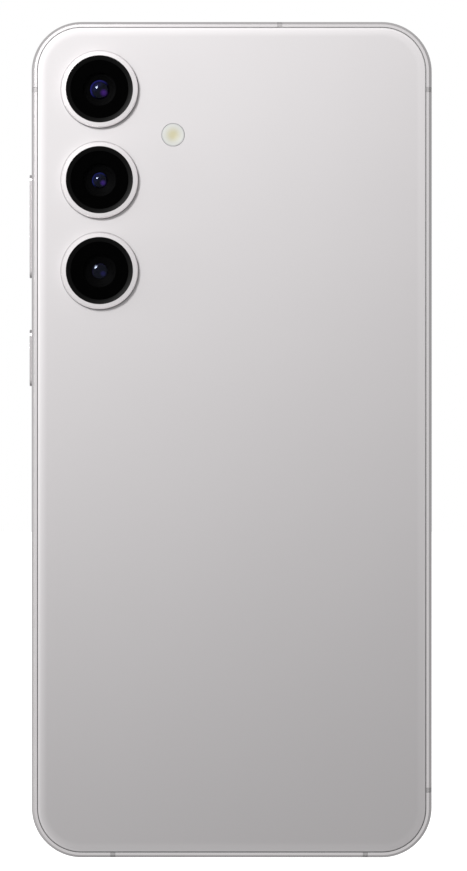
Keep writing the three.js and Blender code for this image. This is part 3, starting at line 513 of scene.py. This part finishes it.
def frame_body():
    """The rounded metal body with both glass recesses and both bays, before any slot is cut."""
    bm = bmesh.new()
    rear_lip = frame_low.y + REAR_STEP
    front_lip = frame_high.y - FRONT_STEP
    face = rounded_face(bm, frame_low, frame_high, CORNER_RADIUS, rear_lip + EDGE_DEPTH)
    rear, front = thicken(bm, face, front_lip - rear_lip - 2 * EDGE_DEPTH)
    flank = [(EDGE_RADIUS * (1 - math.sin(a)), EDGE_RADIUS * math.cos(a)) for a in flank_slopes()[1:]]
    rear_ledge = cover_high.y + REAR_BOND
    front_ledge = display_low.y - FRONT_BOND
    plate_front = panel_low.y - PLATE_GAP
    plate_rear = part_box("battery")[1].y + PLATE_GAP
    for face, ledge, floor, wall in (
        (rear, rear_ledge, plate_rear, WALL),
        (front, front_ledge, plate_front, PANEL_WALL),
    ):
        raise_profile(bm, face, flank)
        start = face.verts[0].co.y
        draw_in(bm, face, LIP - EDGE_WIDTH)
        bm.normal_update()
        face = sink(bm, face, abs(ledge - start))
        draw_in(bm, face, wall - LIP)
        bm.normal_update()
        sink(bm, face, abs(floor - ledge))
    return bare(bm, "frame_shell")


def box_cutter(name, low, high):
    bm = bmesh.new()
    bmesh.ops.create_cube(bm, size=1.0)
    low, high = Vector(low), Vector(high)
    bmesh.ops.scale(bm, vec=high - low, verts=bm.verts)
    bmesh.ops.translate(bm, vec=(low + high) / 2, verts=bm.verts)
    return bare(bm, name)


def slot_cutter(name, length, width, along, out, spot, depth):
    """A pill-shaped cutter: its length runs along one direction, its depth along another."""
    bm, _, _ = pill(length, width, depth)
    turn_to(bm, (along, out, along.cross(out)), spot - out * depth / 2)
    return bare(bm, name)


def band_box(name, gap):
    """The block that an antenna band fills: across the wall, through the whole thickness."""
    low, high = (corner.copy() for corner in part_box(f"antenna_band_{name}"))
    axis = 2 if name.startswith(("left", "right")) else 0
    deep = 2 - axis
    if (low + high)[deep] < (frame_low + frame_high)[deep]:
        low[deep] -= CUT_REACH
        high[deep] += gap
    else:
        high[deep] += CUT_REACH
        low[deep] -= gap
    low[axis] -= gap
    high[axis] += gap
    low.y -= CUT_REACH
    high.y += CUT_REACH
    return box_cutter(f"cut_{name}", low, high)


def key_slots():
    """A slot in the skin for each key, and the bay behind them."""
    cutters = []
    for key in ("volume_key", "power_key"):
        low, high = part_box(key)
        length = high.z - low.z - 2 * (KEY_LIP - KEY_GAP)
        width = high.y - low.y - 2 * (KEY_LIP - KEY_GAP)
        middle = (low + high) / 2
        spot = Vector((frame_low.x, middle.y, middle.z))
        cutters.append(slot_cutter(f"cut_{key}", length, width, UP, RIGHT, spot, SKIN_REACH))
    flex_low, flex_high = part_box("side_key_flex")
    cutters.append(box_cutter(
        "cut_key_bay",
        (frame_low.x + KEY_SKIN, -KEY_BAY / 2, flex_low.z - KEY_BAY_SPARE),
        (frame_low.x + WALL + BAY_OVERLAP, KEY_BAY / 2, flex_high.z + KEY_BAY_SPARE),
    ))
    return cutters


def bottom_openings():
    """Socket, card tray, loudspeaker slots and microphone holes."""
    port = centre_of("usb_shell")
    tray = centre_of("sim_tray_seal")
    low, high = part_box("usb_shell")
    tray_low, tray_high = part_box("sim_tray")
    through = 2 * (WALL + CUT_SPARE)
    slots = [
        ("socket", high.x - low.x + 2 * PORT_GAP, high.y - low.y + 2 * PORT_GAP, port.x, 0, through),
        (
            "tray_face",
            tray_high.x - tray_low.x + 2 * TRAY_GAP,
            tray_high.y - tray_low.y + 2 * TRAY_GAP,
            tray.x,
            0,
            2 * TRAY_FACE,
        ),
        ("tray", *TRAY_MOUTH, tray.x, 0, through),
    ]
    for i in range(SOUND_SLOTS):
        x = SOUND_MIDDLE + (i - (SOUND_SLOTS - 1) / 2) * SOUND_PITCH
        slots.append((f"sound_{i}", *SOUND_SLOT, x, 0, through))
    for name, x, z in (("low", MIC_LOW, 0), ("high", MIC_HIGH, PHONE_HEIGHT)):
        slots.append((f"mic_{name}", MIC_HOLE, MIC_HOLE - 0.001 * MM, x, z, through))
    cutters = []
    for name, length, width, x, z, depth in slots:
        y = tray.y if "tray" in name else port.y
        cutters.append(slot_cutter(f"cut_{name}", length, width, RIGHT, UP, Vector((x, y, z)), depth))
    return cutters


def make_frame():
    """The metal body with its openings, and the antenna bands cut from the same shape."""
    shell = frame_body()
    band_paint = band_resin()
    for name in BANDS:
        blank = shell.copy()
        blank.data = shell.data.copy()
        blank.name = f"band_{name}"
        bpy.context.scene.collection.objects.link(blank)
        carve(blank, [band_box(name, 0.0)], "INTERSECT")
        dress(blank, band_paint, "phone", [f"antenna_band_{name}"])
    gaps = [band_box(name, BAND_GAP) for name in BANDS]
    carve(shell, gaps + key_slots() + bottom_openings())
    dress(shell, satin_metal("frame_metal", 0.9, 0.24), "phone", ["frame"])


# ------------------------------------------------------------------ rear cover

COVER_EDGE = 1.5 * MM             # width of the curved margin
COVER_DROP = 0.27 * MM            # how far that margin falls
COVER_STEPS = 12
LENS_HOLE = 6.1 * MM              # radius of the holes for the cameras
HOLE_START = -8 * MM              # depth at which the cutters of the cover's holes start
FLASH_GAP = 0.03 * MM             # round the flash window
GASKET_DEPTH = 0.04 * MM          # of the seal below the edge of the glass
GASKET_WIDTH = 0.15 * MM
GASKET_REACH = 0.06 * MM          # from the CAD outline of the glass to the seal's outer edge
COVER_GAP = 0.1 * MM              # of open line round the glass, beyond the least that the CAD keeps


def make_rear_cover():
    """The glass cover: flat, with a margin that curves down to the frame."""
    bm = bmesh.new()
    shrink = Vector((COVER_GAP, 0, COVER_GAP))
    low, high = cover_low + shrink, cover_high - shrink
    radius = CORNER_RADIUS - (low.x - frame_low.x)
    face = rounded_face(bm, low, high, radius, cover_low.y + COVER_DROP)
    rear, _ = thicken(bm, face, cover_high.y - cover_low.y - COVER_DROP)
    margin = []
    for i in range(1, COVER_STEPS + 1):
        slope = math.pi / 2 * i / COVER_STEPS
        margin.append((COVER_EDGE * (1 - math.cos(slope)), COVER_DROP * math.sin(slope)))
    raise_profile(bm, rear, margin)
    cover = bare(bm, "rear_cover")
    cutters = []
    for place in LENSES:
        spot = centre_of(f"lens_ring_{place}")
        cutters.append(round_cutter(f"cut_lens_{place}", spot, LENS_HOLE, HOLE_START, 0, TURN_STEPS))
    low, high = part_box("flash_window")
    reach = (high.x - low.x) / 2 + FLASH_GAP
    cutters.append(round_cutter("cut_flash", (low + high) / 2, reach, HOLE_START, 0, TURN_STEPS))
    carve(cover, cutters)
    dress(cover, frosted_glass(), "phone", ["rear_glass"])


def make_gasket():
    """The dark seal that shows as a thin line between the cover and the frame."""
    bm = bmesh.new()
    outset = Vector((GASKET_REACH, 0, GASKET_REACH))
    low, high = cover_low - outset, cover_high + outset
    top = cover_low.y + COVER_DROP + GASKET_DEPTH
    face = rounded_face(bm, low, high, CORNER_RADIUS - (low.x - frame_low.x), top)
    draw_in(bm, face, GASKET_WIDTH)
    bmesh.ops.delete(bm, geom=[face], context="FACES")
    push_back(bm, bm.faces[:], GASKET_WIDTH)
    new_piece("cover_gasket", bm, plastic("gasket_rubber", grey(0.15), 0.6), "phone")


# ------------------------------------------------------------------ rear cameras

RING_CROWN = 0.02 * MM            # fall of a ring's face from its inner to its outer edge
RING_EDGE = 0.18 * MM             # width of a ring's outer rounding, seen from behind
RING_BORE = 5.2 * MM
RING_NECK = 6.0 * MM              # radius of the neck that goes through the cover
SEAT_WIDTH = 0.12 * MM            # of the dark seat that shows round a ring's foot
SEAT_LIFT = 0.02 * MM             # of a ring's foot from the cover
BEZEL_DEPTH = 0.045 * MM          # of a bezel's inner edge below the top of the CAD window
BEZEL_INNER = 5.5 * MM
MASK_HOLE = 3.15 * MM
EYE_REACH = {"top": 1.85 * MM, "middle": 1.5 * MM, "bottom": 1.5 * MM}      # radii of the front elements
EYE_BEND = {"top": 3.3 * MM, "middle": 2.7 * MM, "bottom": 4.2 * MM}        # radii of their curved faces
EYE_SHARE = 0.99                  # of its seat that a front element fills
DIAGONAL = 1.414                  # the square root of two


def closed(points):
    """An outline that comes back to its first point."""
    return [*points, points[0]]


def make_ring(place, low, high, inner, ledge, paints):
    """The metal ring and the dark seat at its foot."""
    spot = (low + high) / 2
    foot_radius = (high.x - low.x) / 2
    outer = foot_radius - SEAT_WIDTH
    seat = cover_low.y - SEAT_LIFT
    bend = RING_EDGE / (1 - math.sin(EDGE_START))
    foot = low.y + RING_CROWN + bend * math.cos(EDGE_START)
    corner = [(outer - bend * (1 - math.sin(a)), foot - bend * math.cos(a)) for a in flank_slopes()]
    ring = turned(closed([
        (RING_BORE, ledge),
        (RING_BORE, high.y),
        (RING_NECK, high.y),
        (RING_NECK, seat),
        (outer - 0.05 * MM, seat),
        (outer, seat - 0.05 * MM),
        *corner,
        (inner, low.y),
        (inner, ledge),
    ]), spot.x, spot.z)
    new_piece(f"ring_{place}", ring, paints["ring"], "phone", [f"lens_ring_{place}"])
    seat_ring = turned(closed([
        (LENS_HOLE, seat - 0.06 * MM),
        (foot_radius - 0.03 * MM, seat - 0.06 * MM),
        (foot_radius, seat - 0.02 * MM),
        (foot_radius, seat + 0.01 * MM),
        (LENS_HOLE, seat + 0.01 * MM),
    ]), spot.x, spot.z)
    new_piece(f"seat_{place}", seat_ring, paints["seat"], "phone")


def make_window(place, spot, top, deep, rim, paints):
    """The black bezel, the clear pane inside it and the black mask under both."""
    bezel = turned(closed([
        (BEZEL_INNER, deep + 0.08 * MM),
        (BEZEL_INNER, deep),
        (BEZEL_INNER + 0.04 * MM, deep - 0.03 * MM),
        (rim - 0.03 * MM, top + 0.03 * MM),
        (rim, top + 0.06 * MM),
        (rim, deep + 0.08 * MM),
    ]), spot.x, spot.z)
    new_piece(f"bezel_{place}", bezel, paints["bezel"], "phone")
    pane_edge = BEZEL_INNER - 0.02 * MM
    pane = turned([
        (0, deep + 0.02 * MM),
        (pane_edge, deep + 0.02 * MM),
        (pane_edge, deep + 0.06 * MM),
        (0, deep + 0.06 * MM),
    ], spot.x, spot.z)
    new_piece(f"pane_{place}", pane, paints["pane"], "phone", [f"lens_window_{place}"])
    mask = turned(closed([
        (MASK_HOLE, deep + 0.09 * MM),
        (rim, deep + 0.09 * MM),
        (rim, deep + 0.11 * MM),
        (MASK_HOLE, deep + 0.11 * MM),
    ]), spot.x, spot.z)
    new_piece(f"mask_{place}", mask, paints["mask"], "phone")


def make_barrel(place, body, spot, paints):
    """The barrel with its steps down to the front element, and that element."""
    low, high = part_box(f"lens_barrel_{place}")
    front = low.y
    eye = EYE_REACH[place]
    barrel = turned([
        (0, front + 0.9 * MM),
        (eye, front + 0.9 * MM),
        (eye, front + 0.55 * MM),
        (eye + 0.12 * MM, front + 0.5 * MM),
        (2.55 * MM, front + 0.28 * MM),
        (2.6 * MM, front + 0.2 * MM),
        (3.05 * MM, front + 0.08 * MM),
        (3.1 * MM, front),
        (3.9 * MM, front),
        (4.0 * MM, front + 0.1 * MM),
        (4.0 * MM, high.y),
        (0, high.y),
    ], spot.x, spot.z, LENS_STEPS)
    new_piece(f"barrel_{place}", barrel, paints["barrel"], body, [f"lens_barrel_{place}"])
    base = front + 0.68 * MM
    element = domed(eye * EYE_SHARE, EYE_BEND[place], base, base + 0.15 * MM, spot)
    new_piece(f"element_{place}", element, paints[f"element_{place}"], body)


def domed(reach, bend, edge, back, spot, steps=DOME_STEPS):
    """A lens whose face bulges away from its flat back, which lies behind the edge of the face."""
    side = 1 if back > edge else -1
    fall = math.asin(reach / bend)
    centre = edge + side * bend * math.cos(fall)
    slopes = [fall * i / steps for i in range(steps + 1)]
    face = [(bend * math.sin(a), centre - side * bend * math.cos(a)) for a in slopes]
    return turned([*face, (reach, back), (0, back)], spot.x, spot.z, LENS_STEPS)


def make_lens(place, body, paints):
    """Everything that shows of one camera."""
    low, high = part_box(f"lens_ring_{place}")
    window_low, window_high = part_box(f"lens_window_{place}")
    spot = (low + high) / 2
    inner = (window_high.x - window_low.x) / 2 + 0.03 * MM
    make_ring(place, low, high, inner, window_high.y + 0.03 * MM, paints)
    make_window(place, spot, low.y, window_low.y + BEZEL_DEPTH, inner - 0.02 * MM, paints)
    make_barrel(place, body, spot, paints)


def lens_painted_reflections(place, spot, reach, sheen, far):
    """Dark glass with its coating's reflections painted on: blue along the rim on one side, a violet blot on the
    other, and a painted halo beside the lamp's glint.
    """
    made, g = material(f"lens_painted_reflections_{place}")
    _, x, _, z = g.place(spot)
    radius = (x * x + z * z).sqrt() / reach
    side = (x - z) / (DIAGONAL * reach)
    # painted reflection: a blue band along the rim on the side toward the lamp
    painted_rim_reflection = radius.step_up(0.72, 0.93) * (1 - side.step_up(-0.5, 0.35))
    # painted highlight: a blue halo on the same side, round where the lamp's glint falls
    painted_glint_halo = (side * -1.0).step_up(0.0, 0.7) * (1 - radius.step_up(0.3, 0.9))
    # painted reflection: a violet patch on the side away from the lamp
    patch_x = x / reach - 0.43
    patch_z = z / reach + 0.33
    painted_patch_reflection = 1 - (patch_x * patch_x + patch_z * patch_z).sqrt().step_up(0.05, 0.5)
    shade = g.blend(painted_glint_halo, (0.001, 0.001, 0.003, 1), dim(sheen, 0.5))
    shade = g.blend(painted_rim_reflection, shade, sheen)
    shade = g.blend(painted_patch_reflection, shade, far)
    finish(
        g,
        Base_Color=shade,
        Roughness=radius * 0.02 + 0.07,
        Specular_IOR_Level=0.2,
        Specular_Tint=(0.7, 0.8, 1, 1),
    )
    return made


def clear_pane():
    """Thin cover glass: clear when seen straight on, and mirror-like at a slant."""
    made, g = material("clear_pane")
    slant = g.node("ShaderNodeFresnel", {}, {"IOR": 1.3})
    inside = g.node("ShaderNodeNewGeometry", output="Backfacing")
    rim = (slant - 0.03).max(0.0) * (1 - inside)
    clear = g.node("ShaderNodeBsdfTransparent", {}, {"Color": (0.97, 0.97, 0.98, 1)})
    sockets = {"Base Color": (1, 1, 1, 1), "Metallic": 1.0, "Roughness": 0.03}
    gloss = g.node("ShaderNodeBsdfPrincipled", {}, sockets)
    g.output(g.node("ShaderNodeMixShader", {}, (rim, clear, gloss)))
    return made


def make_cameras():
    """The three rear cameras, and the finishes that the front camera shares."""
    paints = {
        # painted shade: the rings get a slightly darker copy of the frame's metal, which keeps the lamp's
        # highlight on their faces from going white
        "ring": satin_metal("ring_metal", 0.87, 0.24),
        "seat": plastic("ring_seat", grey(0.2), 0.6),
        "bezel": plastic("bezel_black", grey(0.0006), 0.45, gloss=0.09),
        "pane": clear_pane(),
        "mask": plastic("mask_black", grey(0.0008), 0.7, gloss=0.0),
        "barrel": plastic("barrel_black", grey(0.0016), 0.5, 0.08 * MM, 0.01),
    }
    # painted reflections: the blue and violet tints of each front element's painted coating reflections
    painted_reflection_tints = {
        "top": ((0.014, 0.014, 0.1, 1), (0.035, 0.007, 0.11, 1)),
        "middle": ((0.010, 0.013, 0.08, 1), (0.03, 0.010, 0.12, 1)),
        "bottom": ((0.004, 0.003, 0.012, 1), (0.008, 0.007, 0.045, 1)),
    }
    for place, body in LENSES.items():
        spot = centre_of(f"lens_ring_{place}")
        reflection_tints = painted_reflection_tints[place]
        paints[f"element_{place}"] = lens_painted_reflections(place, spot, EYE_REACH[place], *reflection_tints)
        make_lens(place, body, paints)
    return paints


# ------------------------------------------------------------------ flash

def flash_glass(spot, reach):
    """Milky diffuser with pressed rings and a pale yellow middle."""
    made, g = material("flash_diffuser")
    _, x, _, z = g.place(spot)
    radius = (x * x + z * z).sqrt() / reach
    ridges = (radius * 60).sine()
    yellow = g.blend(radius.step_up(0.1, 0.85), (0.43, 0.40, 0.26, 1), (0.475, 0.48, 0.455, 1))
    colour = g.blend(radius.step_up(0.84, 0.97), yellow, grey(0.38))
    finish(g, Base_Color=colour, Roughness=0.35, Normal=g.bump(ridges, 0.25, 0.02 * MM))
    return made


def make_flash():
    """The flash window, level with the cover."""
    low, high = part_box("flash_window")
    spot = (low + high) / 2
    reach = (high.x - low.x) / 2
    bm = turned([
        (0, low.y + 0.06 * MM),
        (reach * 0.5, low.y + 0.05 * MM),
        (reach - 0.2 * MM, low.y),
        (reach - 0.06 * MM, low.y + 0.01 * MM),
        (reach, low.y + 0.07 * MM),
        (reach, high.y),
        (0, high.y),
    ], spot.x, spot.z, LENS_STEPS)
    new_piece("flash_lens", bm, flash_glass(spot, reach), "phone", ["flash_window"])


# ------------------------------------------------------------------ keys

KEY_EDGE = 0.2 * MM               # rounding of a key's outer face
KEY_REACH = 1.53 * MM             # depth of a key's cap below the frame's side
KEY_FLANGE = 0.4 * MM             # thickness of the flange that holds a key in


def make_key(name, metal):
    """A pill-shaped cap with a wider flange behind the skin."""
    low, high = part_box(name)
    length = high.z - low.z
    width = high.y - low.y
    middle = (low + high) / 2
    cap, face, _ = pill(length - 2 * KEY_LIP, width - 2 * KEY_LIP, frame_low.x + KEY_REACH - low.x)
    soften(cap, list(face.edges), KEY_EDGE)
    flange, _, _ = pill(length, width, KEY_FLANGE)
    axes = (UP, RIGHT, BACK)
    key = bare(turn_to(cap, axes, Vector((low.x, middle.y, middle.z))), f"{name}_cap")
    spot = Vector((high.x - KEY_FLANGE, middle.y, middle.z))
    carve(key, [bare(turn_to(flange, axes, spot), f"{name}_flange")], "UNION")
    dress(key, metal, f"{name}_body", [name])


# ------------------------------------------------------------------ display side

DISPLAY_EDGE = 0.16 * MM          # rounding of the glass
DISPLAY_MARGIN = 1.5 * MM         # black margin round the active area
SLIT_GAP = 0.05 * MM              # round the earpiece mesh
EYE_RADIUS = 1.7 * MM             # of the round window over the front camera
EYE_MARGIN = 0.1 * MM             # of black round that window
EYE_LENS = 0.85 * MM              # radius of the front camera's lens
EYE_STEPS = 10


def display_black():
    """Cover glass over an unlit panel: a black margin round a faintly lighter active area."""
    made, g = material("display_black")
    here, x, _, z = g.place()
    half = display_high.x - DISPLAY_MARGIN
    low, high = display_low.z + DISPLAY_MARGIN, display_high.z - DISPLAY_MARGIN
    middle = (low + high) / 2
    across = x.abs() / half
    along = (z - middle).abs() / (high - middle)
    active = (across < 1.0) * (along < 1.0)
    camera = centre_of("front_camera")
    dx = x - camera.x
    dz = z - camera.z
    hole = (dx * dx + dz * dz).sqrt() < EYE_RADIUS + EYE_MARGIN
    haze = g.noise(here, 70, 3.0)
    lit = active * (1 - hole)
    colour = g.blend(lit, grey(0.002), (0.011, 0.011, 0.014, 1))
    finish(g, Base_Color=colour, Roughness=haze * 0.03 + 0.03, IOR=1.5)
    return made


def make_display():
    """The display glass, with the earpiece slit and a hole for the front camera's window."""
    bm = bmesh.new()
    radius = CORNER_RADIUS - (display_low.x - frame_low.x)
    face = rounded_face(bm, display_low, display_high, radius, display_low.y)
    _, front = thicken(bm, face, display_high.y - display_low.y)
    soften(bm, list(front.edges), DISPLAY_EDGE)
    glass = bare(bm, "display_cover")
    low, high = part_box("earpiece_mesh")
    slit = box_cutter(
        "cut_slit",
        (low.x - SLIT_GAP, low.y - MM, low.z - SLIT_GAP),
        (high.x + SLIT_GAP, high.y + MM, high.z + MM),
    )
    start, end = display_low.y - MM, display_high.y + MM
    hole = round_cutter("cut_eye", centre_of("front_camera"), EYE_RADIUS, start, end, LENS_STEPS)
    carve(glass, [slit, hole])
    dress(glass, display_black(), "phone", ["display_glass"])


def make_front_eye(paints):
    """The camera under the display: clear window, black funnel and a small coated lens with painted reflections.
    """
    spot = centre_of("front_camera")
    top = display_high.y
    rim = EYE_RADIUS - 0.01 * MM
    pane = turned([
        (0, top - 0.06 * MM),
        (rim, top - 0.06 * MM),
        (rim, top - 0.01 * MM),
        (0, top - 0.01 * MM),
    ], spot.x, spot.z, LENS_STEPS)
    new_piece("eye_pane", pane, paints["pane"], "phone")
    funnel = turned([
        (0, top - 0.45 * MM),
        (EYE_LENS, top - 0.45 * MM),
        (EYE_LENS, top - 0.3 * MM),
        (EYE_LENS + 0.05 * MM, top - 0.26 * MM),
        (rim - 0.05 * MM, top - 0.09 * MM),
        (rim, top - 0.09 * MM),
        (rim, top - 0.5 * MM),
        (0, top - 0.5 * MM),
    ], spot.x, spot.z, LENS_STEPS)
    new_piece("eye_funnel", funnel, paints["barrel"], "phone")
    edge = top - 0.38 * MM
    lens = domed(EYE_LENS * 0.98, 1.6 * MM, edge, edge - 0.05 * MM, spot, EYE_STEPS)
    # painted reflections: the tints of the front lens's painted coating reflections
    reflection_tints = (0.02, 0.03, 0.12, 1), (0.04, 0.012, 0.1, 1)
    shade = lens_painted_reflections("front", Vector((spot.x, 0, spot.z)), EYE_LENS, *reflection_tints)
    new_piece("eye_lens", lens, shade, "phone")


# ------------------------------------------------------------------ carried-over pieces

def copper_tone(value):
    return (value * 1.6, value * 0.75, value * 0.45, 1.0)


def paint_inner():
    """Gives every CAD node that still shows a finish of its slot."""
    paints = {
        "adhesive": plastic("adhesive_foam", grey(0.02), 0.8),
        "lens": plastic("lens_black", grey(0.02), 0.3),
        "module_plastic": plastic("module_black", grey(0.03), 0.55),
        "circuit_board": board_green(),
        "black_rubber": plastic("black_rubber", grey(0.02), 0.75),
        "flex_film": plastic("flex_film", (0.25, 0.11, 0.03, 1), 0.35),
        "display_film": plastic("display_film", grey(0.012), 0.3),
        "steel": satin_metal("stamped_steel", 0.55, 0.3),
        "copper": satin_metal("bare_copper", 0.5, 0.3, copper_tone),
        "battery_cell": plastic("battery_wrap", grey(0.05), 0.45),
        "ferrite": plastic("ferrite_sheet", grey(0.03), 0.7),
        "heavy_metal": satin_metal("sintered_metal", 0.3, 0.4),
        "frame_metal": bpy.data.materials["frame_metal"],
    }
    slots = {part["node"]: part["material_slot"] for part in frame["record"]["subparts"]}
    for node, obj in frame["nodes"].items():
        if obj.hide_render:
            continue
        paint = paints[slots[node]]
        if obj.material_slots:
            for place in obj.material_slots:
                place.material = paint
        else:
            obj.data.materials.append(paint)


def board_green():
    """Green solder mask over copper tracks, with tinned pads."""
    made, g = material("board_green")
    here, x, _, z = g.place()
    tracks = ((x * 5200).sine() * (z * 4700).sine()).abs()
    broken = g.noise(here, 900, 1.0)
    line = (tracks < 0.16) * (broken > 0.45)
    colour = g.blend(line, (0.012, 0.07, 0.045, 1), (0.03, 0.13, 0.07, 1))
    pads = (tracks > 0.93) * (broken > 0.6)
    colour = g.blend(pads, colour, (0.55, 0.5, 0.38, 1))
    finish(g, Base_Color=colour, Metallic=pads * 0.9, Roughness=0.4)
    return made


# ------------------------------------------------------------------ camera, light and floor

VIEW_HEIGHT = 164.85 * MM         # what the picture takes in at the cover
VIEW_LENS = 150.0
SENSOR = 36.0
VIEW_SIDE = 0.34 * MM             # of the view's middle from the phone's
VIEW_RISE = 0.8 * MM
LAMP_POWER = 34.4
LAMP_PLACE = Vector((-0.30, -0.60, 0.40))
LAMP_TARGET = (-0.129, cover_low.y, 0.300)
LAMP_CONE = math.radians(53)
LAMP_SIZE = 0.1
WASH_POWER = 1.2
WASH_SIZE = (0.06, 0.3)
WASH_PLACE = Vector((-0.5, -0.036, PHONE_HEIGHT / 2))
FLOOR_REACH = 3.0                 # half the side of the floor
FLOOR_SPARE = 1 * MM              # below the card tray when it is right out


def make_camera():
    """The view straight onto the rear cover."""
    data = bpy.data.cameras.new("view")
    data.lens = VIEW_LENS
    data.sensor_width = SENSOR
    camera = bpy.data.objects.new("view", data)
    distance = VIEW_HEIGHT * VIEW_LENS / SENSOR
    camera.location = (VIEW_SIDE, cover_low.y - distance, PHONE_HEIGHT / 2 + VIEW_RISE)
    camera.rotation_euler = Euler((math.radians(90), 0, 0))
    data.clip_start = 0.01
    data.clip_end = 50
    bpy.context.scene.collection.objects.link(camera)
    bpy.context.scene.camera = camera


def place_light(data, place, target):
    """Puts a light somewhere, aims it, and keeps the camera from seeing it."""
    made = bpy.data.objects.new(data.name, data)
    made.location = place
    made.visible_camera = False
    bpy.context.scene.collection.objects.link(made)
    made.rotation_euler = (Vector(target) - place).to_track_quat("-Z", "Y").to_euler()


def make_lights():
    """A soft lamp on the upper left and a weak tall strip that lights the left side."""
    lamp = bpy.data.lights.new("key_lamp", "SPOT")
    lamp.energy = LAMP_POWER
    lamp.spot_size = LAMP_CONE
    lamp.spot_blend = 1.0
    lamp.shadow_soft_size = LAMP_SIZE
    place_light(lamp, LAMP_PLACE, LAMP_TARGET)
    wash = bpy.data.lights.new("side_wash", "AREA")
    wash.energy = WASH_POWER
    wash.shape = "RECTANGLE"
    wash.size, wash.size_y = WASH_SIZE
    place_light(wash, WASH_PLACE, (frame_low.x, 0, PHONE_HEIGHT / 2))


def make_world():
    """White to the camera. As light it is strongest from the viewer's side and from the upper left."""
    world = bpy.data.worlds.new("studio")
    bpy.context.scene.world = world
    world.use_nodes = True
    g = Graph(world.node_tree)
    here = g.node("ShaderNodeTexCoord", output="Generated")
    x, y, z = (g.node("ShaderNodeSeparateXYZ", {}, (here,), i) for i in range(3))
    front = (y * -1.0).step_up(0.1, 0.65)
    bright_side = (z - x).step_up(-1.3, 1.3)
    back = y.step_up(0.0, 0.3)
    level = 0.26 + bright_side * 0.155 + front * 0.27 + back * 0.07
    seen = g.node("ShaderNodeLightPath", output="Is Camera Ray")
    strength = seen + (1 - seen) * level
    light = g.node("ShaderNodeBackground", {}, {"Color": (1, 1, 1, 1), "Strength": strength})
    g.output(light, "ShaderNodeOutputWorld")


def make_floor():
    """A pale floor, low enough for the card tray to come out above it."""
    tray = next(joint for joint in frame["joints"] if joint["name"] == "sim_tray_slide")
    bm = bmesh.new()
    bmesh.ops.create_grid(bm, x_segments=1, y_segments=1, size=FLOOR_REACH)
    bmesh.ops.translate(bm, verts=bm.verts, vec=(0, 0, -tray["range_m"][1] - FLOOR_SPARE))
    made, g = material("floor_white")
    finish(g, Base_Color=grey(0.85), Roughness=0.6, Emission_Color=(1, 1, 1, 1), Emission_Strength=0.9)
    floor = bare(bm, "floor")
    floor.data.materials.append(made)
    floor.visible_diffuse = False
    floor.visible_glossy = False


def make_look():
    """Plain tones, without a film curve."""
    scene = bpy.context.scene
    scene.view_settings.view_transform = "Standard"
    scene.view_settings.look = "None"


make_frame()
make_rear_cover()
make_gasket()
lens_paints = make_cameras()
make_flash()
# painted shade: the keys get a darker copy of the frame's metal, which keeps the lamps' highlight on them from
# going white
shaded_key_metal = satin_metal("shaded_key_metal", 0.66, 0.24)
for key_name in ("volume_key", "power_key"):
    make_key(key_name, shaded_key_metal)
make_display()
make_front_eye(lens_paints)
paint_inner()
make_camera()
make_lights()
make_world()
make_floor()
make_look()
